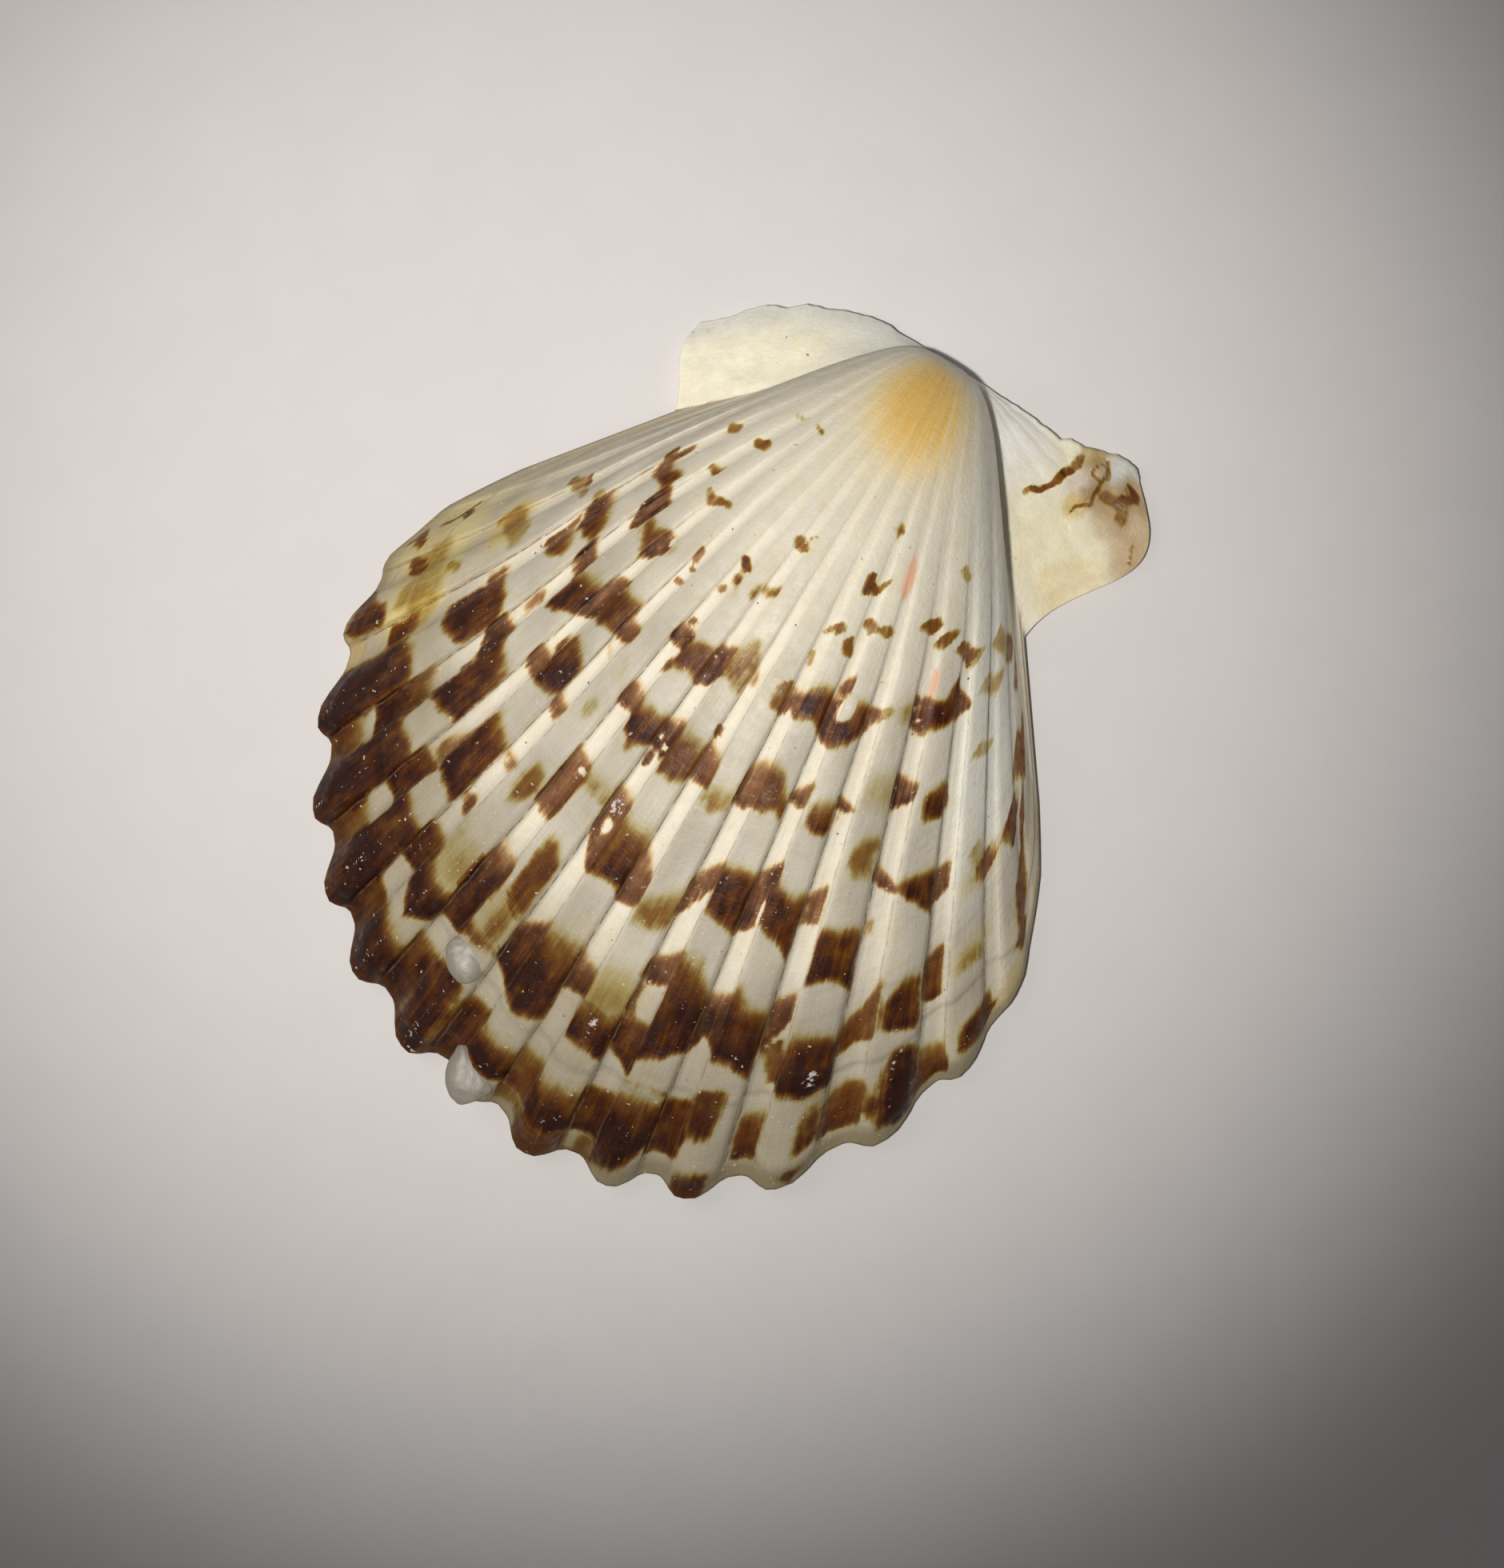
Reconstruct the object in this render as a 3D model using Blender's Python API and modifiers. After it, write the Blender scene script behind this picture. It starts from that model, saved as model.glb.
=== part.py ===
"""One worn valve of a calico scallop, lying with its hollow side down.

A scallop grows at its edge. Each growth line is the edge of a younger shell: the same outline, smaller,
and tilted about the straight hinge. So the whole valve follows from one outline and one spiral:

    across  = size * outline_across
    out     = size * cos(tilt) * outline_out
    height  = size * sin(tilt) * outline_out        with tilt = -ln(size) / SPIRAL

The beak, where growth began, is at size 0, and the edge is at size 1. The ribs are added to that surface.
Lengths are in metres. +Z is up, +Y points at the hinge, and the front edge of the shell is at -Y.
"""

import bmesh
import bpy
import numpy as np

# ---- driving dimensions --------------------------------------------------------------------------

SPIRAL = 1.45  # growth per radian of tilt; a smaller number makes a deeper shell
STEEPEST = np.radians(88)  # the tilt levels off here, at the back of the umbo
RIB_HEIGHT = 0.00072  # crest above trough, at the edge of the shell
LOBE = 0.00055  # how far a rib's end stands out from the mean outline; only the last growth is lobed
WALL = 0.00125  # wall of the grown shell
EDGE_WALL = 0.0008  # wall at its thin edge
LIFT = 0.00075  # outer face above the ground at the foot of a trough
EAR_FLATNESS = 0.6  # an ear rises this much as fast as the disc beside it
HINGE_PLATE = 0.0024  # depth of the solid plate under the beak
UMBO = 0.14  # the hollow ends at this growth size

# The bearing of each rib's end from the beak, in degrees; 0 points along the middle of the shell.
RIBS = (-43, -39.5, -35, -29.1, -23.4, -18.1, -12.9, -7.2, -1.9, 3.25, 8.9, 13.9, 19.7, 26.8, 33, 38, 41.5)
WORN_RIB = 8  # the rib whose end is broken off
WORN = 0.0007  # how much of it is gone

# The mean outline of the disc, from the left groove to the right one: bearing in degrees, and millimetres
# from the beak.
OUTLINE = ((-48.5, 15.4), (-46.5, 19.3), (-44.5, 24.4), (-42.5, 29.0), (-39.5, 32.7), (-35, 35.9),
           (-29.5, 39.3), (-24, 42.2), (-18.5, 44.6), (-13, 46.6), (-6, 48.2), (2, 49.2), (9, 48.8),
           (14.5, 47.9), (20, 46.1), (26.2, 43.0), (31.5, 39.7), (36, 36.6), (38.5, 34.2),
           (41.5, 28.9), (44.5, 20.4), (46.8, 15.8))

# The ears, as (across, out) from the beak: the tip on the hinge side, and the bulge of the outer edge.
RIGHT_EAR_TIP = (0.0123, 0.0)
RIGHT_EAR_BULGE = 0.0028
LEFT_EAR_TIP = (-0.0129, 0.0055)
LEFT_EAR_BULGE = 0.0006

# The hinge edge of each ear, worn out of the straight: (across, forward) from the beak in millimetres.
RIGHT_HINGE = ((0, 0), (5.3, 0.1), (6.2, 0.2), (7.5, 0.36), (8.0, 0.08), (8.8, 0.05), (9.4, -0.1), (10.6, -0.5),
               (11.3, -0.55), (12.0, -0.38), (12.4, -0.1))
LEFT_HINGE = ((-13.0, 5.3), (-11.8, 4.35), (-11.1, 3.4), (-10.3, 2.55), (-9.2, 2.1), (-8.4, 1.36), (-7.3, 0.94),
              (-6.2, 0.46), (-5.1, 0.16), (-3.9, 0), (0, 0))

# Growth stops, as (size, drop): the shell steps down where growth began again.
LEDGES = ((0.62, 0.00010), (0.872, 0.00028), (0.965, 0.00015))

# ---- the mesh's lines ----------------------------------------------------------------------------

RIB_STATIONS = (-0.45, -0.24, 0.0, 0.26, 0.33)  # along each rib's width: foot, shoulder, crest, shoulder, foot
EAR_STATIONS = (0.25, 0.5, 0.72, 0.88, 1.0)  # from the groove to the hinge
SIZES = (0.0, 0.05, 0.1, 0.14, 0.19, 0.25, 0.31, 0.38, 0.45, 0.52, 0.58, 0.615, 0.625,
         0.68, 0.74, 0.8, 0.84, 0.868, 0.878, 0.91, 0.94, 0.962, 0.97, 1.0)


def smooth_step(low, high, value):
    """0 below low, 1 above high, and a smooth rise between."""
    t = np.clip((value - low) / (high - low), 0, 1)
    return t * t * (3 - 2 * t)


def tilt(size):
    """The angle of a growth line about the hinge: a logarithmic spiral that levels off at the umbo."""
    free = -np.log(np.maximum(size, 1e-4)) / SPIRAL + 1e-6
    return (free**-6 + STEEPEST**-6) ** (-1 / 6)


def disc_lines():
    """Rib number, rib profile and lobe for each mesh line on the disc, from left to right."""
    across = np.concatenate([i + np.array(RIB_STATIONS) for i in range(len(RIBS))])
    across = np.concatenate([[-0.5], across, [len(RIBS) - 0.5]])
    off = across - np.round(across)
    flank = smooth_step(0, 3, np.minimum(across + 0.5, len(RIBS) - 0.5 - across))
    profile = smooth_step(-0.46, -0.24, off) * (1 - smooth_step(0.263, 0.325, off)) * flank
    lobe = (1 - smooth_step(0.06, 0.44, np.abs(off))) * flank
    return across, profile, lobe, flank


def squeeze(across, size):
    """Near the umbo the ribs crowd towards the middle one, and half way down the left ones spread a little."""
    off = across - WORN_RIB
    left = 1 - 0.2 * (1 - smooth_step(0.1, 0.42, size)) + 0.05 * np.exp(-(((size - 0.52) / 0.13) ** 2))
    right = 1 - 0.22 * (1 - smooth_step(0.08, 0.46, size))
    turned = 0.2 * (1 - smooth_step(0.1, 0.4, size))
    moved = off * (np.where(off < 0, left, right) - 1) + turned
    return across + moved * (1 - smooth_step(4.5, 8.5, np.abs(off)))


def outline(size):
    """The edge of the disc for every row and mesh line, and the lines' rib numbers and profiles."""
    across, profile, lobe, flank = disc_lines()
    spaced = np.append(np.insert(np.array(RIBS, float), 0, 2 * RIBS[0] - RIBS[1]), 2 * RIBS[-1] - RIBS[-2])
    bearing = np.interp(squeeze(across, size), np.arange(-1, len(RIBS) + 1), spaced)
    bearing = np.clip(bearing, OUTLINE[0][0], OUTLINE[-1][0])
    bearing[:, 0], bearing[:, -1] = OUTLINE[0][0], OUTLINE[-1][0]
    places, reaches = np.array(OUTLINE).T
    reach = np.interp(bearing, places, reaches) / 1000
    ends = LOBE * (2 * lobe - 1) * flank - WORN * np.exp(-(((across - WORN_RIB) / 0.5) ** 2))
    reach = reach + ends * smooth_step(0.86, 1, size)
    disc = np.stack([np.sin(np.radians(bearing)) * reach, np.cos(np.radians(bearing)) * reach], axis=2)
    return across, disc, profile


def ear(size, groove, tip, bulge, share):
    """One ear: from the groove to its hinge edge, with an outer edge that bulges most beyond the middle."""
    bent = np.sin(np.pi * share**1.6) ** 1.3
    side = np.sign(tip[0])
    x = (1 - share) * groove[:, :1] + share * tip[0] + side * bulge * bent
    y = (1 - share) * groove[:, 1:] + share * tip[1]
    return size * x, size * y


def worn_edge(x, out, share, hinge):
    """Moves an ear's hinge edge, and less and less of the ear behind it, to the worn line."""
    places, forward = np.array(hinge).T / 1000
    edge = np.argmax(share)
    target = np.interp(x[:, edge], places, forward)
    return out + smooth_step(0.5, 1, share) * (target - out[:, edge])[:, None]


def outer_face(size, detail):
    """Points of the outer face on the grid of growth sizes and mesh lines. Detail 0 leaves out ribs and ledges."""
    s = np.array(size)[:, None]
    across, disc, profile = outline(s)
    turn = tilt(s)
    share = np.array(EAR_STATIONS)
    left_x, left_y = ear(s, disc[:, 0], (LEFT_EAR_TIP[0], LEFT_EAR_TIP[1] * s), LEFT_EAR_BULGE, share[::-1])
    right_x, right_y = ear(s, disc[:, -1], RIGHT_EAR_TIP, RIGHT_EAR_BULGE, share)
    x = np.hstack([left_x, s * disc[:, :, 0], right_x])
    y = np.hstack([left_y, s * disc[:, :, 1], right_y])
    ears = len(share)
    rib = np.concatenate([np.zeros(ears), profile, np.zeros(ears)])
    into_disc = np.minimum(across + 0.5, len(RIBS) - 0.5 - across)
    rise = EAR_FLATNESS + (1 - EAR_FLATNESS) * smooth_step(0, 3.2, into_disc)
    rise = np.concatenate([np.full(ears, EAR_FLATNESS), rise, np.full(ears, EAR_FLATNESS)])
    out = y * np.cos(turn)
    out[:, :ears] = worn_edge(x[:, :ears], out[:, :ears], share[::-1], LEFT_HINGE)
    out[:, -ears:] = worn_edge(x[:, -ears:], out[:, -ears:], share, RIGHT_HINGE)
    points = np.stack([x, -out, rise * y * np.sin(turn) + LIFT], axis=2)
    if not detail:
        return points
    fade = smooth_step(0.1, 0.5, s)
    height = RIB_HEIGHT * s * fade * rib
    for where, drop in LEDGES:
        height = height + drop * (smooth_step(where + 0.005, where - 0.005, s) - 1) * np.minimum(1, rise)
        height = height + drop * smooth_step(where - 0.12, where, s)
    up = np.stack([np.zeros_like(turn), np.sin(turn), np.cos(turn)], axis=2)
    return points + height[:, :, None] * up


def normals(points):
    """Unit normals of a grid of points, pointing out of the shell."""
    along = np.gradient(points, axis=0)
    over = np.gradient(points, axis=1)
    normal = np.cross(along, over)
    normal[0] = normal[1]
    return normal / np.linalg.norm(normal, axis=2, keepdims=True)


def inner_face(size):
    """Points of the inner face: a wall's thickness inside, over a solid plate under the beak."""
    smooth = outer_face(size, 0)
    ribbed = outer_face(size, 1)
    s = np.array(size)[:, None, None]
    wall = WALL + (EDGE_WALL - WALL) * smooth_step(0.75, 1, s)
    points = smooth - wall * normals(smooth) + smooth_step(0.45, 1, s) * (ribbed - smooth) * 0.9
    rim = list(size).index(UMBO)
    plate = np.array([0, -HINGE_PLATE, 0])
    share = s[:rim] / UMBO
    points[:rim] = plate + share * (points[rim] - plate)
    points[:, :, 2] = np.maximum(points[:, :, 2], 0)
    return points


def sheet(points):
    """A grid primitive whose vertices are moved to the given points, closed to one vertex at the beak."""
    rows, lines = points.shape[:2]
    shell = bmesh.new()
    bmesh.ops.create_grid(shell, x_segments=lines - 1, y_segments=rows - 1, size=0.5)
    place = shell.verts.layers.int.new("place")
    beak = []
    for vert in shell.verts:
        line = round((vert.co.x + 0.5) * (lines - 1))
        row = round((vert.co.y + 0.5) * (rows - 1))
        vert[place] = row * lines + line
        vert.co = points[row, line]
        if row == 0:
            beak.append(vert)
    bmesh.ops.remove_doubles(shell, verts=beak, dist=1e-6)
    bmesh.ops.reverse_faces(shell, faces=shell.faces)
    mesh = bpy.data.meshes.new("sheet")
    shell.to_mesh(mesh)
    shell.free()
    return mesh


def shell_material():
    """Worn shell: cream, smooth and a little glossy."""
    material = bpy.data.materials.new("shell")
    material.use_nodes = True
    surface = material.node_tree.nodes["Principled BSDF"]
    surface.inputs["Base Color"].default_value = (0.62, 0.50, 0.38, 1)
    surface.inputs["Roughness"].default_value = 0.45
    surface.inputs["Metallic"].default_value = 0.0
    material.diffuse_color = (0.62, 0.50, 0.38, 1)
    return material


def valve(collection):
    """The valve: an open sheet, given its wall by Solidify, whose inner face is then shaped from within."""
    outer = outer_face(SIZES, 1)
    inner = inner_face(SIZES)
    start = bpy.data.objects.new("sheet", sheet(outer))
    collection.objects.link(start)
    wall = start.modifiers.new("wall", "SOLIDIFY")
    wall.thickness = WALL
    wall.offset = -1
    bpy.context.view_layer.update()
    solid = start.evaluated_get(bpy.context.evaluated_depsgraph_get())
    mesh = bpy.data.meshes.new_from_object(solid)
    bpy.data.objects.remove(start)

    count = len(mesh.vertices)
    place = np.zeros(count, dtype=np.int32)
    mesh.attributes["place"].data.foreach_get("value", place)
    points = outer.reshape(-1, 3)[place]
    points[count // 2:] = inner.reshape(-1, 3)[place[count // 2:]]
    middle = (points.min(axis=0) + points.max(axis=0)) / 2
    points[:, :2] -= middle[:2]
    mesh.vertices.foreach_set("co", points.ravel())
    mesh.attributes.remove(mesh.attributes["place"])
    mesh.name = "valve"
    mesh.materials.append(shell_material())
    part = bpy.data.objects.new("valve", mesh)
    collection.objects.link(part)
    return part


def main():
    for old in list(bpy.data.objects):
        bpy.data.objects.remove(old)
    collection = bpy.data.collections.new("scallop shell")
    bpy.context.scene.collection.children.link(collection)
    part = valve(collection)
    size = np.array(part.dimensions)
    print("valve", len(part.data.polygons), "faces,", np.round(size * 1000, 2), "mm")


main()
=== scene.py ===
# %% [markdown]
# # A worn scallop valve
# This script dresses one half of a calico scallop that was picked up on a beach. It starts from a fixed
# frame: the solid that gives the shell its place and size. Everything below is worked out around that box.

# %% Load the frame
import re

import bmesh
import bpy
import numpy as np
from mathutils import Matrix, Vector


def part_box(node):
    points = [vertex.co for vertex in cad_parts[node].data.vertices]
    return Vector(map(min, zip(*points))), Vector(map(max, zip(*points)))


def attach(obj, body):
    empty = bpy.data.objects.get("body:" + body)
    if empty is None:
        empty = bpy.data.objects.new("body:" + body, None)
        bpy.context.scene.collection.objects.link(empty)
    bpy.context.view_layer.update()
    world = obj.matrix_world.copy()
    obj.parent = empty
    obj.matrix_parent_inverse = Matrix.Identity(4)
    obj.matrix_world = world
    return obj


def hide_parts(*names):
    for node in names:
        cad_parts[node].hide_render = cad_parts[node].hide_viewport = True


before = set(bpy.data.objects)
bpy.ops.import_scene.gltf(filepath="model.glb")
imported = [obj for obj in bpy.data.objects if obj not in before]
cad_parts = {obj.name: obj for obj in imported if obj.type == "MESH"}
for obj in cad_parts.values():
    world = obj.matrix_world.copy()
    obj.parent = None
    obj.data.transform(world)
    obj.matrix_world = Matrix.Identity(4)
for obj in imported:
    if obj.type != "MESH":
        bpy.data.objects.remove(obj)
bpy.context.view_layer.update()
low, high = (np.array(corner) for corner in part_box("valve"))
MM = 0.001
print("frame box in mm:", np.round((high - low) / MM, 2))

# %% [markdown]
# # Soft steps, bells and waves
# Nothing on a shell is ruled with a straight edge, so three soft curves do most of the drawing below.
# Textures could be painted by hand, or taken from noise nodes. Here they also shape the mesh, so they are
# functions of numpy arrays: a step with round corners, a bell, and a gentle noise that is the same in every
# run.

# %% Soft curves


def smooth_step(start, end, value):
    """0 before start, 1 after end, and a smooth S between them: t * t * (3 - 2 t)."""
    t = np.clip((value - start) / (end - start), 0, 1)
    return t * t * (3 - 2 * t)


def bump(value, middle, width):
    """A bell curve: 1 at the middle, about a third at one width away."""
    return np.exp(-(((value - middle) / width) ** 2))


def waves(x, y, seed, count=8):
    """Soft noise from about -1 to 1: a mean of sine waves with seeded directions, lengths and phases."""
    rng = np.random.default_rng(seed)
    turns, lengths, phases = rng.uniform((0, 0.6, 0), (np.pi, 1.7, 6.3), (count, 3)).T
    ways = [x * np.cos(turn) + y * np.sin(turn) for turn in turns]
    parts = [np.sin(way * length * 2 * np.pi + phase) for way, length, phase in zip(ways, lengths, phases)]
    return sum(parts) / count * 1.8


print("a soft step, a quarter of the way:", smooth_step(0, 1, 0.25))

# %% [markdown]
# # How a scallop grows
# A scallop adds shell only at its edge, so every growth line is the outline of a younger shell: the same
# shape, smaller, and turned up about the straight hinge. Sculpting such a form by hand would take long. It is
# quicker and truer to write the growth law once, as a function of two numbers, and let numpy work out the
# whole surface: `size` runs from 0 at the beak to 1 at the edge, and `rib` counts ribs from the left to the
# right.

# %% The growth law
SPIRAL = 1.45
STEEPEST = np.radians(88)
SHELL_LENGTH = 50
# the beak, where growth began: a little left of the box's middle, and just inside its back
BEAK = np.array([(low[0] + high[0]) / 2 - 0.29 * MM, high[1] - 0.56 * MM, 0])


def tilt(size):
    """A logarithmic spiral, -ln(size) / SPIRAL, that levels off at the back of the umbo."""
    free = -np.log(np.maximum(size, 1e-4)) / SPIRAL + 1e-6
    return (free**-6 + STEEPEST**-6) ** (-1 / 6)


print("tilt of the half-grown shell in degrees:", round(float(np.degrees(tilt(0.5))), 1))

# %% [markdown]
# # The outline
# The outline of a scallop is a fan: nearly straight flanks, a round front, and two ears along the hinge. Each
# rib ends in a lobe. A curve could be drawn round every lobe. Here a few listed points are enough for
# the fan, given as bearing in degrees and distance in millimetres from the beak, because the lobes are a
# formula: the rib's own cross-section decides how far its end stands out.

# %% Bearings of the ribs, points of the outline
RIBS = (-43, -39.5, -35, -29.1, -23.4, -18.1, -12.9, -7.2, -1.9, 3.25, 8.9, 13.9, 19.7, 26.8, 33, 38, 41.5)
OUTLINE = ((-48.5, 15.4), (-46.5, 19.3), (-44.5, 24.4), (-42.5, 29), (-39.5, 32.7), (-35, 35.9),
           (-29.5, 39.3), (-24, 42.2), (-18.5, 44.6), (-13, 46.6), (-6, 48.2), (2, 49.2), (9, 48.8),
           (14.5, 47.9), (20, 46.1), (26.2, 43), (31.5, 39.7), (36, 36.6), (38.5, 34.2), (41.5, 28.9),
           (44.5, 20.4), (46.8, 15.8))
RIB_COUNT = len(RIBS)
MIDDLE_RIB = 8
FIRST, LAST = -0.5, RIB_COUNT - 0.5
print("ribs:", RIB_COUNT, "outline points:", len(OUTLINE))

# %% Cross-section of the ribs
RIB_FOOT = 0.325


def off_rib(rib):
    """Distance from the middle of the nearest rib, in ribs, below zero on its left."""
    return rib - np.round(rib)


def near_flank(rib):
    """0 at the grooves beside the ears and 1 from the third rib inwards."""
    return smooth_step(0, 3, np.minimum(rib - FIRST, LAST - rib))


def rib_profile(rib):
    """Cross-section of the ribbing: a gentle left flank, a slightly crowned top and a steep right flank."""
    off = off_rib(rib)
    top = smooth_step(-0.46, -0.24, off) * (1 - smooth_step(0.263, RIB_FOOT, off))
    crown = np.clip(1 - (off / 0.32) ** 2, 0, 1)
    return top * (0.85 + 0.15 * crown) * near_flank(rib)


def lobe_profile(rib):
    """How far the edge stands out: 1 at the end of a rib, 0 in a trough, round in between."""
    return (1 - smooth_step(0.06, 0.44, np.abs(off_rib(rib)))) * near_flank(rib)


print("a rib from its middle to the trough:", np.round(rib_profile(MIDDLE_RIB + np.linspace(0, 0.5, 6)), 2))

# %% Edge of the disc
LOBE = 0.55 * MM
BROKEN_OFF = 0.7 * MM
LOBES_START = 0.86


def squeeze(rib, size):
    """Near the umbo the ribs crowd towards the middle, and half way down the left ones spread a little."""
    off = rib - MIDDLE_RIB
    left = 1 - 0.2 * (1 - smooth_step(0.1, 0.42, size)) + 0.05 * bump(size, 0.52, 0.13)
    right = 1 - 0.22 * (1 - smooth_step(0.08, 0.46, size))
    factor = np.where(off < 0, left, right)
    turned = 0.2 * (1 - smooth_step(0.1, 0.4, size))
    return MIDDLE_RIB + off + (off * (factor - 1) + turned) * (1 - smooth_step(4.5, 8.5, np.abs(off)))


def edge_of_disc(rib, size):
    """Across and out from the beak, for each rib: the outline's point and its lobe, less the broken end."""
    spaced = np.array([2 * RIBS[0] - RIBS[1], *RIBS, 2 * RIBS[-1] - RIBS[-2]], dtype=float)
    bearing = np.interp(squeeze(rib, size), np.arange(-1, RIB_COUNT + 1), spaced)
    groove = np.array([OUTLINE[0][0], OUTLINE[-1][0]])
    bearing = np.where(rib <= FIRST + 1e-6, groove[0], np.where(rib >= LAST - 1e-6, groove[1], bearing))
    bearing = np.clip(bearing, *groove)
    places, reaches = np.array(OUTLINE).T
    reach = np.interp(bearing, places, reaches) * MM
    at_edge = smooth_step(LOBES_START, 1, size)
    reach = reach + LOBE * (2 * lobe_profile(rib) - 1) * near_flank(rib) * at_edge
    reach = reach - BROKEN_OFF * bump(rib, MIDDLE_RIB, 0.5) * at_edge
    turn = np.radians(bearing)
    return np.sin(turn) * reach, np.cos(turn) * reach


tip_x, tip_y = edge_of_disc(np.array([9.0]), np.array([1.0]))
print("end of the ninth rib, mm across and out:", round(tip_x[0] / MM, 1), round(tip_y[0] / MM, 1))

# %% [markdown]
# # The ears
# The ears are the flat wings beside the beak. The right one is whole. The left one has lost its hinge-side
# edge to the surf. Both could be separate sheets. They are grown with the disc instead, because the same law
# keeps their growth lines in step with it: each is stretched between the groove beside the disc and the hinge
# edge, with an outer edge that bulges. The hinge edges are worn out of the straight, so each is a short list
# of points in millimetres, and the sheet behind the edge follows it.

# %% Edges of the ears
RIGHT_EAR = dict(tip=(12.3, 0.0), bulge=2.8)
LEFT_EAR = dict(tip=(-12.9, 5.5), bulge=0.6)
EAR_FLATNESS = 0.6
RIGHT_HINGE = ((0, 0), (5.3, 0.1), (6.2, 0.2), (7.5, 0.36), (8, 0.08), (8.8, 0.05), (9.4, -0.1),
               (10.6, -0.5), (11.3, -0.55), (12, -0.38), (12.4, -0.1))
LEFT_HINGE = ((-13, 5.3), (-11.8, 4.35), (-11.1, 3.4), (-10.3, 2.55), (-9.2, 2.1), (-8.4, 1.36),
              (-7.3, 0.94), (-6.2, 0.46), (-5.1, 0.16), (-3.9, 0), (0, 0))


def edge_of_ear(ear, groove, share, size):
    """Outline of an ear: a straight line from groove to tip, plus a bulge, strongest past the middle."""
    x = (1 - share) * groove[0] + share * ear["tip"][0] * MM
    y = (1 - share) * groove[1] + share * ear["tip"][1] * MM * size
    bent = np.sin(np.pi * share**1.6) ** 1.3
    return x + np.sign(ear["tip"][0]) * ear["bulge"] * MM * bent, y


def to_worn_edge(x, out, share, side):
    """Moves the hinge edge, and less and less of the ear behind it, onto the worn line."""
    places, forward = np.array(LEFT_HINGE if side == 0 else RIGHT_HINGE).T * MM
    target = np.interp(x[:, side], places, forward)
    return smooth_step(0.5, 1, share) * (target - out[:, side])[:, None]


print("points along the hinge edges:", len(LEFT_HINGE), "and", len(RIGHT_HINGE))

# %% [markdown]
# # The lines of the mesh
# The outer face is one grid: lines run from the beak to the edge, rows run along the growth lines. An even
# grid would need far more faces. The foot of a rib is sharp and its top is flat, so here the lines crowd
# where the section bends and are sparse elsewhere. The rows are coarser near the beak, where there is little
# to see. The inner face is almost smooth and uses every second line and every fifth row. Fans along the rim
# join the two.

# %% Lines and rows
RIB_LINES = (-0.5, -0.43, -0.37, -0.325, -0.28, -0.22, -0.12, 0.0, 0.12, 0.21, 0.265, 0.295, 0.325, 0.41)
EAR_LINES = 44
EAR_WIDTH = 3.0
row_size = np.concatenate([np.linspace(0, 0.34, 51)[:-1], np.linspace(0.34, 1, 206)])
disc_ribs = np.append((np.arange(RIB_COUNT)[:, None] + RIB_LINES).ravel(), LAST)
ear_share = np.linspace(0, 1, EAR_LINES + 1)[1:]
rib_line = np.concatenate([FIRST - EAR_WIDTH * ear_share[::-1], disc_ribs, LAST + EAR_WIDTH * ear_share])
rib, size = np.meshgrid(rib_line, row_size)
on_disc = (rib >= FIRST - 1e-6) & (rib <= LAST + 1e-6)
share = np.clip(np.where(rib < FIRST, FIRST - rib, rib - LAST) / EAR_WIDTH, 0, 1)
print("outer grid:", rib.shape[0], "rows by", rib.shape[1], "lines")

# %% Surface and normals of the smooth shell
HINGE_HEIGHT = 0.75 * MM


def base_surface(rib, size, share):
    """Across = size * x, out = size * cos(tilt) * y, height = size * sin(tilt) * y * rise, from the beak."""
    inside = np.clip(rib, FIRST, LAST)
    x, y = edge_of_disc(inside, size)
    left = edge_of_ear(LEFT_EAR, (x, y), share, size)
    right = edge_of_ear(RIGHT_EAR, (x, y), share, size)
    x, y = (np.where(rib < FIRST, left[i], np.where(rib > LAST, right[i], (x, y)[i])) for i in (0, 1))
    turn = tilt(size)
    from_groove = np.minimum(inside - FIRST, LAST - inside)
    rise = EAR_FLATNESS + (1 - EAR_FLATNESS) * smooth_step(0, 3.2, from_groove)
    height = rise * size * np.sin(turn) * y
    across, out = size * x, size * np.cos(turn) * y
    out = out + np.where(rib < FIRST, to_worn_edge(across, out, share, 0), 0)
    out = out + np.where(rib > LAST, to_worn_edge(across, out, share, -1), 0)
    return np.stack([across, -out, height + HINGE_HEIGHT], axis=2) + BEAK


def normals(points):
    """Unit normals of a grid, from the cross product of its two directions, pointing out of the shell."""
    normal = np.cross(np.gradient(points, axis=0), np.gradient(points, axis=1))
    normal[0] = normal[1]
    return normal / np.maximum(np.linalg.norm(normal, axis=2, keepdims=True), 1e-12)


print("the hinge lies", HINGE_HEIGHT / MM, "mm above the floor")

# %% The smooth shell
CHIPPED_EDGE = 0.05 * MM
smooth = base_surface(rib, size, share)
ear_x, ear_y = (smooth[:, :, 0] - BEAK[0]) / MM, (smooth[:, :, 1] - BEAK[1]) / MM
chipped = smooth_step(0.85, 1, share) * smooth_step(0.15, 0.4, size) * waves(ear_x * 1.1, ear_x * 0.4, 2)
smooth[:, :, 1] += CHIPPED_EDGE * chipped
smooth_normal = normals(smooth)
turn = tilt(size)
growth_up = np.stack([np.zeros_like(turn), np.sin(turn), np.cos(turn)], axis=2)
print("dome height in mm:", round(smooth[:, :, 2].max() / MM, 2))

# %% [markdown]
# # Relief
# What makes the shell look like shell is relief at several scales: ribs, a step where growth stopped and
# started again, fine lines along every growth line, lumps where sand has ground it, and a few pearly
# swellings between the bands. A bump node alone could fake it. Real height is used as well, because the shell
# is seen from low angles too. Each is a height in metres, added square to the growth lines' plane.

# %% Ribs and growth stops
RIB_HEIGHT = 0.72 * MM
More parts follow.
